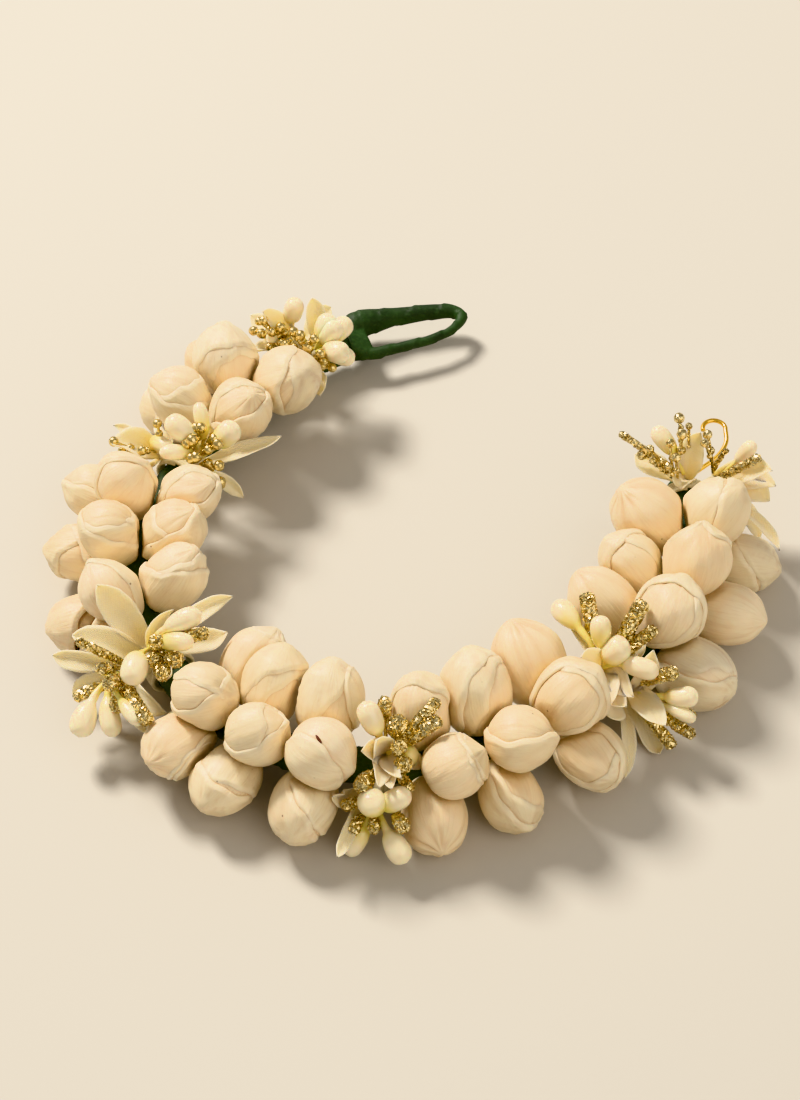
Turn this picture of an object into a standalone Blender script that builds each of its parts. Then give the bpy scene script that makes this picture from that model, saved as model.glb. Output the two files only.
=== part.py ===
"""Jasmine hair garland, laid down in a C on a flat surface.

Rows of three wrapped buds and six sprays of flowers ride on a taped wire stem that ends
in a taped loop and a small wire hook. Lengths are in millimetres in a frame where the
stem is easy to describe, and a parent empty brings them to metres and to the origin.
"""
import math
import random
from collections import namedtuple

import bmesh
import bpy
from mathutils import Vector

MM = 0.001
GAP = 0.3
SEED = 7

# The middle of the whole garland's box, which becomes the origin
CENTRE_X = 3.93
CENTRE_Y = -13.53

# The stem's centre line starts at the loop and runs round the C as arcs of (length, turn)
STEM_START = (-15.0, 62.0)
STEM_HEADING = -155.0
STEM_ARCS = ((33.0, 30.0), (25.5, 0.0), (149.0, 138.0), (118.0, 82.0))
STEM_END = 325.0
STEM_STEP = 8.0
STEM_HEIGHT = 7.2
STEM_RADIUS = 4.5

# The loop of taped wire at the stem's start, as (distance out, half width) along one side
LOOP_SIDE = ((2.4, 3.4), (6.5, 4.9), (13.0, 5.1), (21.0, 4.5), (28.0, 3.3), (32.5, 1.6))
LOOP_FAR_RADII = (2.6, 2.6, 2.4, 2.1, 1.8, 1.6)
LOOP_NEAR_RADII = (1.9, 1.8, 1.6, 1.5, 1.4, 1.4)
LOOP_TIP = 34.0
LOOP_TURN = 21.0
LOOP_START = 0.7
LOOP_WEB = ((0.0, 1.0, 1.0), (3.0, 1.42, 0.72), (6.0, 1.3, 0.5))
LOOP_WEB_RADIUS = 4.2

# The wire hook at the stem's end: a shank that leans out, then most of a turn
HOOK_WIRE = 0.6
HOOK_SHANK = ((0.0, 0.0, 0.0), (0.2, 2.0, 0.0), (4.5, 5.0, 0.6), (9.6, 9.0, 1.6), (12.0, 13.0, 2.4))
HOOK_CENTRE = (9.2, 17.4, 3.0)
HOOK_RADIUS = 3.0
HOOK_ARC = (-10.0, 190.0)
HOOK_STEPS = 9

# Each row: station on the stem, roll, stagger, then the buds' sizes and spreads
Row = namedtuple("Row", "station roll stagger inner top outer spread_in spread_out")
ROWS = (
    Row(31.5, -24, 5.5, 17.5, 16.5, 15.5, 64, 60),
    Row(48.5, -36, 4.5, 16.0, 15.0, 16.0, 64, 58),
    Row(80.5, -21, 3.0, 15.0, 14.5, 15.0, 64, 55),
    Row(95.5, -26, 1.5, 15.5, 15.0, 15.0, 62, 55),
    Row(112.5, -31, 1.5, 15.5, 14.5, 15.0, 66, 58),
    Row(150.5, -19, 0.5, 16.0, 15.5, 15.5, 78, 55),
    Row(164.0, -28, 4.0, 15.5, 15.0, 15.5, 64, 56),
    Row(179.5, -28, 2.5, 16.5, 17.0, 15.5, 64, 57),
    Row(205.5, -42, 4.5, 15.0, 15.5, 15.5, 64, 50),
    Row(221.0, -33, 4.0, 18.0, 16.0, 15.0, 64, 57),
    Row(237.5, -19, 0.5, 18.0, 17.5, 15.5, 64, 60),
    Row(270.5, -19, 3.0, 16.0, 17.0, 17.5, 70, 68),
    Row(287.0, -18, 3.0, 15.0, 17.0, 15.5, 64, 62),
    Row(304.0, -24, 2.5, 18.0, 16.5, 15.0, 64, 70),
)
BUD_REACH = 15.1
BUD_LENGTH_TIP = 1.18
BUD_LENGTH_BASE = 11.0
BUD_FULLNESS = 2.3
BUD_COLUMNS = 12
BUD_RINGS = 7
PETALS_PER_BUD = 3
WRAP_STEPS = (0.0, 0.32, 0.64, 0.94)
WRAP_RISE = 0.14
BUD_MARGIN = 0.25
WRAP_TWIST = 40.0

# Each bunch stands on the stem at a station and roll, with its head at a radius. Its
# petals, pips and gold sticks are tips as (azimuth, spread, reach) seen from the head
Bunch = namedtuple("Bunch", "station roll head petals pips gold")
SPRAYS = (
    (
        Bunch(13, -35, 10, ((-80, 78, 16), (-20, 98, 12), (170, 88, 13)), ((110, 40, 11),),
              ((-15, 65, 10), (25, 50, 11), (5, 68, 9), (50, 62, 8), (-45, 55, 9))),
        Bunch(13, 30, 13, ((-115, 78, 14), (60, 95, 13)), ((-170, 65, 12), (125, 65, 11), (-135, 45, 11)),
              ((-60, 75, 8), (-30, 80, 9), (0, 45, 7), (40, 65, 8), (85, 60, 8))),
    ),
    (
        Bunch(64, 35, 14, ((142, 68, 21), (98, 98, 17), (-165, 85, 14)), ((-128, 60, 13), (-168, 45, 12)),
              ((-100, 50, 9), (-60, 55, 8), (120, 55, 8), (-20, 55, 8), (80, 80, 8), (50, 70, 9))),
        Bunch(64, -45, 11, ((-112, 70, 17), (-10, 85, 15), (-170, 80, 15)),
              ((140, 70, 12), (-38, 60, 13), (55, 75, 10)),
              ((100, 50, 9), (-84, 65, 12), (20, 55, 9), (-60, 80, 12))),
    ),
    (
        Bunch(131, -24, 14, ((178, 66, 19), (-132, 68, 18), (105, 86, 13), (88, 100, 24), (62, 110, 20)),
              ((80, 72, 14), (46, 88, 12)), ((14, 50, 8), (-12, 62, 8), (20, 88, 8), (10, 28, 11))),
        Bunch(130, -62, 16, ((-122, 84, 16), (-152, 70, 18), (-5, 112, 17), (-80, 98, 15)),
              ((20, 55, 11), (-66, 58, 18), (-42, 82, 16), (-22, 98, 13)),
              ((172, 45, 8), (-92, 45, 12), (-4, 76, 7), (-52, 100, 14))),
    ),
    (
        Bunch(194, -20, 13, ((-155, 66, 13), (-60, 84, 12), (140, 92, 14)), ((105, 45, 12), (-5, 80, 10)),
              ((80, 58, 11), (58, 38, 9), (44, 72, 18), (20, 72, 15), (-25, 50, 8), (-35, 76, 10))),
        Bunch(192, -75, 14, ((-132, 70, 17), (172, 88, 13)),
              ((170, 35, 9), (15, 62, 10), (-48, 56, 15), (-112, 44, 15)),
              ((125, 75, 8), (150, 70, 9), (-150, 70, 9), (-80, 60, 10), (-15, 72, 9))),
    ),
    (
        Bunch(252, 0, 10, ((-25, 88, 12), (115, 72, 12), (-115, 98, 13)), ((88, 50, 19), (42, 34, 14), (-25, 34, 12)),
              ((60, 68, 18), (8, 58, 18), (-8, 70, 14))),
        Bunch(255, -65, 11, ((-80, 88, 14), (-134, 86, 20), (-108, 84, 17), (160, 84, 12)),
              ((58, 62, 15), (2, 62, 17), (-30, 74, 14)), ((30, 60, 15), (-68, 60, 16), (-92, 58, 15))),
    ),
    (
        Bunch(321, 5, 10, ((82, 82, 16), (-42, 72, 15), (150, 85, 13)), ((28, 52, 15),),
              ((62, 64, 17), (0, 62, 15), (-18, 36, 11), (98, 50, 10))),
        Bunch(321, -45, 13, ((-72, 66, 16), (-100, 86, 16), (-135, 90, 24)), ((-38, 45, 12), (30, 72, 9)),
              ((62, 55, 10), (-8, 62, 10), (-80, 45, 12))),
    ),
)
BEADED_SPRAYS = 2

COLLAR_INNER = 5.0
COLLAR_OUTER = 6.4
COLLAR_WIDTH = 3.6
COLUMN_RADIUS = 1.6
COLUMN_ROOT = 5.6

PETAL_DROP = 4.4
PETAL_LOWEST = 6.2
PETAL_SHOULDER = 4.4
PETAL_ARCH = 0.14
PETAL_STATIONS = (0.25, 0.52, 0.8)
PETAL_HALF_WIDTHS = (0.9, 1.4, 2.8, 3.4, 2.3)
ROOT_SHIFT = 0.4
PETAL_THICK = 1.0
PETAL_CUP = 0.9

PIP_STATIONS = (0.0, 0.3, 0.5, 0.8, 1.0)
PIP_RADII = (0.7, 0.8, 2.1, 2.6, 1.0)
GOLD_STATIONS = (0.0, 0.35, 0.8, 1.0)
STICK_RADII = (0.6, 1.15, 1.3, 0.7)
BEAD_RADII = (0.5, 0.55, 1.3, 0.7)

RING_DROP = 1.9
RING_MIDDLE = 2.7
RING_WIRE = 0.65
BINDING_RADIUS = 7.4
BINDING_WIRE = 0.6
BINDING_STEPS = 4
ROOT_CLEARANCE = 46.0

IVORY = (0.86, 0.74, 0.58, 1.0)
PETAL_WHITE = (0.86, 0.81, 0.67, 1.0)
GOLD = (0.72, 0.52, 0.2, 1.0)
TAPE_GREEN = (0.02, 0.1, 0.035, 1.0)
BRASS = (0.8, 0.5, 0.12, 1.0)

Bud = namedtuple("Bud", "name centre axis along radius")
Wall = namedtuple("Wall", "centre axis radius stretch")


def clear_scene():
    for item in list(bpy.data.objects):
        bpy.data.objects.remove(item, do_unlink=True)


def make_material(name, colour, roughness, metallic):
    material = bpy.data.materials.new(name)
    material.use_nodes = True
    shader = material.node_tree.nodes["Principled BSDF"]
    shader.inputs["Base Color"].default_value = colour
    shader.inputs["Roughness"].default_value = roughness
    shader.inputs["Metallic"].default_value = metallic
    material.diffuse_color = colour
    return material


def new_object(name, mesh, collection):
    item = bpy.data.objects.new(name, mesh)
    collection.objects.link(item)
    return item


def finish_part(item, material, parent):
    item.data.materials.clear()
    item.data.materials.append(material)
    item.data.shade_smooth()
    item.data.set_sharp_from_angle(angle=math.radians(50))
    item.parent = parent


# Places on and around the stem

def stem_point(station):
    """Return the stem's (x, y) and heading in radians at a station."""
    x, y = STEM_START
    heading = math.radians(STEM_HEADING)
    left = station
    for length, turn in STEM_ARCS:
        run = min(left, length)
        bend = math.radians(turn) / length
        if bend == 0.0:
            x += run * math.cos(heading)
            y += run * math.sin(heading)
        else:
            x += (math.sin(heading + bend * run) - math.sin(heading)) / bend
            y -= (math.cos(heading + bend * run) - math.cos(heading)) / bend
        heading += bend * run
        left -= run
        if left <= 0.0:
            break
    return x, y, heading


def around(station, roll):
    """Return origin, along, across and outward at a roll round the stem.

    Roll is 0 straight up and positive towards the inside of the C.
    """
    x, y, heading = stem_point(station)
    angle = math.radians(roll)
    along = Vector((math.cos(heading), math.sin(heading), 0.0))
    inward = Vector((-math.sin(heading), math.cos(heading), 0.0))
    up = Vector((0.0, 0.0, 1.0))
    outward = inward * math.sin(angle) + up * math.cos(angle)
    across = inward * math.cos(angle) - up * math.sin(angle)
    return Vector((x, y, STEM_HEIGHT)), along, across, outward


# Tubes, lofts and unions

def tube_mesh(name, points, radii, resolution, cyclic=False):
    """Make a closed mesh from a poly curve whose radius changes along it."""
    curve = bpy.data.curves.new(name, "CURVE")
    curve.dimensions = "3D"
    curve.bevel_depth = MM
    curve.bevel_resolution = resolution
    curve.use_fill_caps = not cyclic
    spline = curve.splines.new("POLY")
    spline.points.add(len(points) - 1)
    spline.use_cyclic_u = cyclic
    for knot, point, radius in zip(spline.points, points, radii):
        knot.co = (*(point * MM), 1.0)
        knot.radius = radius
    guide = bpy.data.objects.new(name, curve)
    bpy.context.scene.collection.objects.link(guide)
    graph = bpy.context.evaluated_depsgraph_get()
    mesh = bpy.data.meshes.new_from_object(guide.evaluated_get(graph))
    bpy.data.objects.remove(guide)
    weld(mesh)
    return mesh


def weld(mesh):
    shape = bmesh.new()
    shape.from_mesh(mesh)
    bmesh.ops.remove_doubles(shape, verts=shape.verts, dist=0.00001)
    bmesh.ops.recalc_face_normals(shape, faces=shape.faces)
    shape.to_mesh(mesh)
    shape.free()


def drop_flaps(mesh):
    """Triangulate a joined mesh and drop the pairs of faces that lie back to back."""
    shape = bmesh.new()
    shape.from_mesh(mesh)
    bmesh.ops.triangulate(shape, faces=shape.faces)
    twins = {}
    for face in shape.faces:
        twins.setdefault(frozenset(face.verts), []).append(face)
    flaps = [face for pair in twins.values() if len(pair) > 1 for face in pair]
    bmesh.ops.delete(shape, geom=flaps, context="FACES")
    loose = [corner for corner in shape.verts if not corner.link_faces]
    bmesh.ops.delete(shape, geom=loose, context="VERTS")
    bmesh.ops.dissolve_degenerate(shape, edges=shape.edges, dist=0.000002)
    shape.to_mesh(mesh)
    shape.free()


def union(name, meshes, collection):
    """Join overlapping closed meshes into one body."""
    body = new_object(name, meshes[0], collection)
    others = bpy.data.collections.new(name + "_pieces")
    bpy.context.scene.collection.children.link(others)
    for number, mesh in enumerate(meshes[1:]):
        new_object(f"{name}_piece_{number}", mesh, others)
    join = body.modifiers.new("join", "BOOLEAN")
    join.operation = "UNION"
    join.operand_type = "COLLECTION"
    join.collection = others
    join.solver = "MANIFOLD"
    graph = bpy.context.evaluated_depsgraph_get()
    mesh = bpy.data.meshes.new_from_object(body.evaluated_get(graph))
    body.modifiers.clear()
    body.data = mesh
    for piece in list(others.objects):
        bpy.data.objects.remove(piece)
    bpy.data.collections.remove(others)
    drop_flaps(mesh)
    return body


def bezier(start, control, end, t):
    return start * (1 - t) ** 2 + control * (2 * t * (1 - t)) + end * t ** 2


def direction(frame, azimuth, spread):
    """Turn an azimuth and a spread round a bunch's axis into a unit vector."""
    _, along, across, outward = frame
    turn = math.radians(azimuth)
    lean = math.radians(spread)
    side = along * math.cos(turn) + across * math.sin(turn)
    return side * math.sin(lean) + outward * math.cos(lean)


# Buds

def bud_list():
    buds = []
    for number, row in enumerate(ROWS, 1):
        places = (
            ("inner", row.spread_in, -0.5, row.inner),
            ("top", 0.0, 0.5, row.top),
            ("outer", -row.spread_out, -0.5, row.outer),
        )
        for place, spread, lead, size in places:
            station = row.station + lead * row.stagger
            origin, along, _, outward = around(station, row.roll + spread)
            centre = origin + outward * BUD_REACH
            buds.append(Bud(f"bud_{number:02d}_{place}", centre, outward, along, size / 2))
    return buds


def press_planes(bud, buds):
    """Planes that a bud is pressed flat against: the surface, the stem and its neighbours."""
    planes = [
        (Vector((0.0, 0.0, -1.0)), bud.centre.z),
        (-bud.axis, BUD_REACH - STEM_RADIUS - GAP),
    ]
    for other in buds:
        apart = other.centre - bud.centre
        distance = apart.length
        if other is bud or distance > 2.8 * BUD_REACH / 2:
            continue
        share = (distance ** 2 + bud.radius ** 2 - other.radius ** 2) / (2 * distance)
        planes.append((apart / distance, share - GAP / 2))
    return planes


def pressed(point, planes):
    for normal, limit in planes:
        reach = point.dot(normal)
        if reach > limit:
            point = point * (limit / reach)
    return point


def bud_point(corner, bud, across, spin):
    """Move a corner of a unit sphere onto the wrapped bud."""
    height = corner.z
    length = bud.radius * BUD_LENGTH_TIP if height > 0 else BUD_LENGTH_BASE
    if abs(height) > 0.999:
        return bud.axis * (height * length)
    full = bud.radius * (1 - abs(height) ** BUD_FULLNESS) ** (1 / BUD_FULLNESS)
    column = round(math.atan2(corner.y, corner.x) / math.tau * BUD_COLUMNS) % BUD_COLUMNS
    petal, step = divmod(column, len(WRAP_STEPS))
    turn = (petal + WRAP_STEPS[step]) / PETALS_PER_BUD * math.tau
    turn += spin + math.radians(WRAP_TWIST) * height
    fade = max(0.0, 1 - height ** 4)
    radius = full * (1 - WRAP_RISE * fade * WRAP_STEPS[step])
    side = bud.along * math.cos(turn) + across * math.sin(turn)
    return bud.axis * (height * length) + side * radius


def make_bud(bud, buds, draw, collection):
    shape = bmesh.new()
    bmesh.ops.create_uvsphere(shape, u_segments=BUD_COLUMNS, v_segments=BUD_RINGS, radius=1.0)
    planes = press_planes(bud, buds)
    across = bud.axis.cross(bud.along)
    spin = draw.uniform(0.0, math.tau)
    for corner in shape.verts:
        corner.co = pressed(bud_point(corner.co, bud, across, spin), planes) * MM
    mesh = bpy.data.meshes.new(bud.name)
    shape.to_mesh(mesh)
    shape.free()
    weld(mesh)
    item = new_object(bud.name, mesh, collection)
    item.location = bud.centre * MM
    return item


# Flower sprays

def bud_walls(buds, station):
    """Balls that stand for the buds near a spray, a little long in their own axis."""
    x, y, _ = stem_point(station)
    here = Vector((x, y, STEM_HEIGHT))
    near = [bud for bud in buds if (bud.centre - here).length < 48]
    return [Wall(bud.centre, bud.axis, bud.radius + BUD_MARGIN, BUD_LENGTH_TIP) for bud in near]


def ball(centre, radius):
    return Wall(centre, Vector((0.0, 0.0, 1.0)), radius, 1.0)


def clear_of(point, size, walls, frame):
    """Push a point out of every wall, off the stem and up from the surface."""
    for wall in walls:
        offset = point - wall.centre
        offset -= wall.axis * offset.dot(wall.axis) * (1 - 1 / wall.stretch)
        need = wall.radius + size
        if offset.length < need:
            offset *= need / offset.length
            offset += wall.axis * offset.dot(wall.axis) * (wall.stretch - 1)
            point = wall.centre + offset
    origin, along, _, _ = frame
    radial = point - origin
    station = along * radial.dot(along)
    radial -= station
    need = STEM_RADIUS + GAP + size
    if radial.length < need:
        point = origin + station + radial * (need / radial.length)
    point.z = max(point.z, size + GAP)
    return point


def bent_clear(points, sizes, walls, frame, fixed):
    """Bend a midline clear of the walls, keeping its first points where they are."""
    for _ in range(3):
        moved = [clear_of(point, size, walls, frame) for point, size in zip(points, sizes)]
        points = list(points[:fixed]) + moved[fixed:]
    return points


def ring_centre(bunch, frame):
    return frame[0] + frame[3] * (bunch.head - RING_DROP)


def root_azimuth(azimuth, towards):
    """Keep a petal's root away from the wire that runs down beside the column."""
    gap = (azimuth - towards + 180) % 360 - 180
    if abs(gap) >= ROOT_CLEARANCE:
        return azimuth
    return towards + math.copysign(ROOT_CLEARANCE, gap)


def petal_midline(bunch, frame, tip, towards):
    azimuth, spread, reach = tip
    origin, _, _, outward = frame
    head = origin + outward * bunch.head
    start = origin + outward * max(bunch.head - PETAL_DROP, PETAL_LOWEST)
    root = start + direction(frame, azimuth, 90) * ROOT_SHIFT
    shoulder = start + direction(frame, root_azimuth(azimuth, towards), 84) * PETAL_SHOULDER
    end = head + direction(frame, azimuth, spread) * reach
    control = (shoulder + end) / 2 + outward * (reach * PETAL_ARCH)
    return [root, shoulder] + [bezier(shoulder, control, end, t) for t in PETAL_STATIONS] + [end]


def petal_rings(points, frame, walls):
    """Return the four corners of each ring round a petal's midline."""
    rings = []
    for number, half in enumerate(PETAL_HALF_WIDTHS):
        ahead = (points[number + 1] - points[max(number - 1, 0)]).normalized()
        side = ahead.cross(frame[3]).normalized()
        face = side.cross(ahead)
        cup = face * (PETAL_CUP * half / max(PETAL_HALF_WIDTHS))
        thick = face * (PETAL_THICK / 2)
        edges = [points[number] + side * half + cup, points[number] - side * half + cup]
        if number > 1:
            edges = [clear_of(edge, 0.6, walls, frame) for edge in edges]
        rings.append((edges[0], points[number] + thick, edges[1], points[number] - thick))
    return rings


def petal_mesh(name, rings, tip):
    """Loft a pointed, cupped blade through its rings of four corners."""
    shape = bmesh.new()
    loops = [[shape.verts.new(corner * MM) for corner in ring] for ring in rings]
    end = shape.verts.new(tip * MM)
    shape.faces.new(loops[0])
    for low, high in zip(loops, loops[1:]):
        for k in range(4):
            shape.faces.new((low[k], low[k - 1], high[k - 1], high[k]))
    for k in range(4):
        shape.faces.new((loops[-1][k], loops[-1][k - 1], end))
    bmesh.ops.triangulate(shape, faces=shape.faces)
    bmesh.ops.recalc_face_normals(shape, faces=shape.faces)
    mesh = bpy.data.meshes.new(name)
    shape.to_mesh(mesh)
    shape.free()
    return mesh


def petal_walls(rings, tip):
    """Balls along a petal and along both its edges, for the gold to miss."""
    walls = [ball(tip, 0.8)]
    for low, high in zip(rings[1:], rings[2:]):
        for t in (0.0, 0.5):
            left, right = low[0].lerp(high[0], t), low[2].lerp(high[2], t)
            middle = (low[1] + low[3]).lerp(high[1] + high[3], t) / 2
            walls.append(ball(middle, 1.2))
            walls.append(ball(left.lerp(middle, 0.4), 1.0))
            walls.append(ball(right.lerp(middle, 0.4), 1.0))
    return walls


def collar_mesh(name, station):
    """A ring round the stem that the bunches are bound to."""
    origin, along, _, _ = around(station, 0.0)
    shape = bmesh.new()
    turn = along.to_track_quat("Z", "Y").to_matrix()
    rings = []
    for radius, side in ((COLLAR_INNER, -1), (COLLAR_OUTER, -1), (COLLAR_OUTER, 1), (COLLAR_INNER, 1)):
        ring = []
        for k in range(12):
            angle = math.tau * k / 12
            spot = Vector((radius * math.cos(angle), radius * math.sin(angle), side * COLLAR_WIDTH / 2))
            ring.append(shape.verts.new((origin + turn @ spot) * MM))
        rings.append(ring)
    for number in range(4):
        low, high = rings[number - 1], rings[number]
        for k in range(12):
            shape.faces.new((low[k - 1], low[k], high[k], high[k - 1]))
    bmesh.ops.recalc_face_normals(shape, faces=shape.faces)
    mesh = bpy.data.meshes.new(name)
    shape.to_mesh(mesh)
    shape.free()
    return mesh


def pip_midline(bunch, frame, tip):
    azimuth, spread, reach = tip
    head = frame[0] + frame[3] * bunch.head
    control = head + direction(frame, azimuth, spread * 0.5) * (reach * 0.45)
    end = head + direction(frame, azimuth, spread) * reach
    root = head - frame[3] * 0.8 + direction(frame, azimuth, 90) * ROOT_SHIFT
    return [bezier(root, control, end, t) for t in PIP_STATIONS]


def pip_walls(points):
    walls = []
    for number in range(1, len(points) - 1):
        low, high = PIP_RADII[number], PIP_RADII[number + 1]
        walls.append(ball(points[number], low))
        walls.append(ball((points[number] + points[number + 1]) / 2, (low + high) / 2))
    return walls


def gold_midline(bunch, frame, tip):
    azimuth, spread, reach = tip
    middle = ring_centre(bunch, frame)
    root = middle + direction(frame, azimuth, 80) * RING_MIDDLE
    control = root + direction(frame, azimuth, spread * 0.75) * (reach * 0.4)
    end = frame[0] + frame[3] * bunch.head + direction(frame, azimuth, spread) * reach
    return [bezier(root, control, end, t) for t in GOLD_STATIONS]


def flower_pieces(number, bunches, buds):
    """Return the white pieces of a spray and the walls that its gold has to miss."""
    station = bunches[0].station
    walls = bud_walls(buds, station)
    white = [collar_mesh(f"collar_{number}", station)]
    taken = []
    frames = [around(bunch.station, bunch.roll) for bunch in bunches]
    rings = [ball(ring_centre(bunch, frame), RING_MIDDLE + 0.9) for bunch, frame in zip(bunches, frames)]
    for order, (bunch, frame) in enumerate(zip(bunches, frames)):
        name = f"spray_{number}_{order}"
        other = rings[1 - order]
        towards = -90 if bunch.roll > bunches[1 - order].roll else 90
        outward = frame[3]
        column = [frame[0] + outward * COLUMN_ROOT, frame[0] + outward * (bunch.head - 0.6),
                  frame[0] + outward * bunch.head]
        white.append(tube_mesh(name, column, (COLUMN_RADIUS, COLUMN_RADIUS, 1.1), 2))
        for tip in bunch.petals:
            points = petal_midline(bunch, frame, tip, towards)
            points = bent_clear(points, (0.9,) * len(points), walls + [other], frame, 2)
            rings_round = petal_rings(points, frame, walls + [other])
            white.append(petal_mesh(name, rings_round, points[-1]))
            taken += petal_walls(rings_round, points[-1])
        for tip in bunch.pips:
            points = bent_clear(pip_midline(bunch, frame, tip), PIP_RADII, walls + [other], frame, 1)
            white.append(tube_mesh(name, points, PIP_RADII, 1))
            taken += pip_walls(points)
    return white, taken + walls


def binding_midline(bunches, frames):
    """The gold wire from one ring, down and round the collar, to the other ring."""
    points = []
    first, second = bunches
    towards = -90 if first.roll > second.roll else 90
    points.append(ring_centre(first, frames[0]) + direction(frames[0], towards, 90) * RING_MIDDLE)
    between = second.roll - first.roll
    lift = math.copysign(min(math.degrees(RING_MIDDLE / BINDING_RADIUS), abs(between) / 2), between)
    for k in range(BINDING_STEPS + 1):
        t = k / BINDING_STEPS
        roll = first.roll + lift + (between - 2 * lift) * t
        station = first.station + (second.station - first.station) * t
        origin, _, _, outward = around(station, roll)
        points.append(origin + outward * BINDING_RADIUS)
    points.append(ring_centre(second, frames[1]) + direction(frames[1], -towards, 90) * RING_MIDDLE)
    return points


def ring_mesh(name, bunch, frame):
    middle = ring_centre(bunch, frame)
    points = [middle + direction(frame, 45 * k, 90) * RING_MIDDLE for k in range(8)]
    return tube_mesh(name, points, (RING_WIRE,) * 8, 0, cyclic=True)


def gold_pieces(number, bunches, taken):
    frames = [around(bunch.station, bunch.roll) for bunch in bunches]
    name = f"gold_{number}"
    radii = BEAD_RADII if number <= BEADED_SPRAYS else STICK_RADII
    points = binding_midline(bunches, frames)
    gold = [tube_mesh(name, points, (BINDING_WIRE,) * len(points), 0)]
    for bunch, frame in zip(bunches, frames):
        gold.append(ring_mesh(name, bunch, frame))
        for tip in bunch.gold:
            points = gold_midline(bunch, frame, tip)
            sizes = [radius + 0.4 for radius in radii]
            points = bent_clear(points, sizes, taken, frame, 1)
            gold.append(tube_mesh(name, points, radii, 0))
    return gold


# Stem, loop and hook

def make_stem(collection):
    count = round(STEM_END / STEM_STEP)
    points = []
    for k in range(count + 1):
        x, y, _ = stem_point(STEM_END * k / count)
        points.append(Vector((x, y, STEM_HEIGHT)))
    radii = [STEM_RADIUS] * len(points)
    return new_object("stem", tube_mesh("stem", points, radii, 4), collection)


def make_loop(collection):
    """A long taped loop whose two sides run together into a flat web at the stem's end."""
    x, y = STEM_START
    turn = math.radians(LOOP_TURN)
    out = Vector((math.cos(turn), math.sin(turn), 0.0))
    side = Vector((-out.y, out.x, 0.0))
    start = Vector((x, y, STEM_HEIGHT)) + out * LOOP_START
    far = [start + out * reach + side * half for reach, half in LOOP_SIDE]
    near = [start + out * reach - side * half for reach, half in reversed(LOOP_SIDE)]
    points = far + [start + out * LOOP_TIP] + near
    radii = LOOP_FAR_RADII + (LOOP_NEAR_RADII[-1],) + LOOP_NEAR_RADII[::-1]
    wire = tube_mesh("loop", points, radii, 2)
    spots = [start + out * reach for reach, _, _ in LOOP_WEB]
    web = tube_mesh("loop_web", spots, (LOOP_WEB_RADIUS,) * len(spots), 4)
    for corner in web.vertices:
        offset = corner.co / MM - start
        reach = offset.dot(out)
        wide, thick = web_scale(reach)
        flat = out * reach + side * (offset.dot(side) * wide)
        corner.co = (start + flat + Vector((0.0, 0.0, offset.z * thick))) * MM
    return union("end_loop", [web, wire], collection)


def web_scale(reach):
    """Read the web's width and thickness factors at a distance out from the stem."""
    for (low, wide, thick), (high, wide_next, thick_next) in zip(LOOP_WEB, LOOP_WEB[1:]):
        t = min(max((reach - low) / (high - low), 0.0), 1.0)
        if reach <= high:
            break
    return wide + (wide_next - wide) * t, thick + (thick_next - thick) * t


def make_hook(collection):
    x, y, _ = stem_point(STEM_END)
    start = Vector((x, y + GAP, STEM_HEIGHT))
    points = [start + Vector(offset) for offset in HOOK_SHANK]
    middle = start + Vector(HOOK_CENTRE)
    first, last = HOOK_ARC
    for k in range(HOOK_STEPS + 1):
        angle = math.radians(first + (last - first) * k / HOOK_STEPS)
        points.append(middle + Vector((math.cos(angle), math.sin(angle), 0.0)) * HOOK_RADIUS)
    mesh = tube_mesh("hook", points, (HOOK_WIRE,) * len(points), 2)
    return new_object("hook", mesh, collection)


def main():
    clear_scene()
    collection = bpy.data.collections.new("jasmine_garland")
    bpy.context.scene.collection.children.link(collection)
    base = bpy.data.objects.new("garland_origin", None)
    base.location = (-CENTRE_X * MM, -CENTRE_Y * MM, 0.0)
    collection.objects.link(base)
    ivory = make_material("bud_ivory", IVORY, 0.55, 0.0)
    white = make_material("petal_white", PETAL_WHITE, 0.6, 0.0)
    gold = make_material("stamen_gold", GOLD, 0.35, 1.0)
    green = make_material("tape_green", TAPE_GREEN, 0.6, 0.0)
    brass = make_material("hook_brass", BRASS, 0.25, 1.0)
    draw = random.Random(SEED)
    buds = bud_list()
    for bud in buds:
        finish_part(make_bud(bud, buds, draw, collection), ivory, base)
    for number, bunches in enumerate(SPRAYS, 1):
        pieces, taken = flower_pieces(number, bunches, buds)
        finish_part(union(f"flowers_{number}", pieces, collection), white, base)
        pieces = gold_pieces(number, bunches, taken)
        finish_part(union(f"stamens_{number}", pieces, collection), gold, base)
    finish_part(make_stem(collection), green, base)
    finish_part(make_loop(collection), green, base)
    finish_part(make_hook(collection), brass, base)


main()
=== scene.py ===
"""Looks for the jasmine hair garland: wrapped buds, woven petals, glossy pips, gold
glitter, green crepe tape and a brass hook, each built over its own solid of the frame.

Lengths are in millimetres in the frame's own axes and become metres as meshes are made.
"""
import math
import random
from collections import namedtuple

import bmesh
import bpy
import numpy as np
from mathutils import Matrix, Vector, noise


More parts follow.
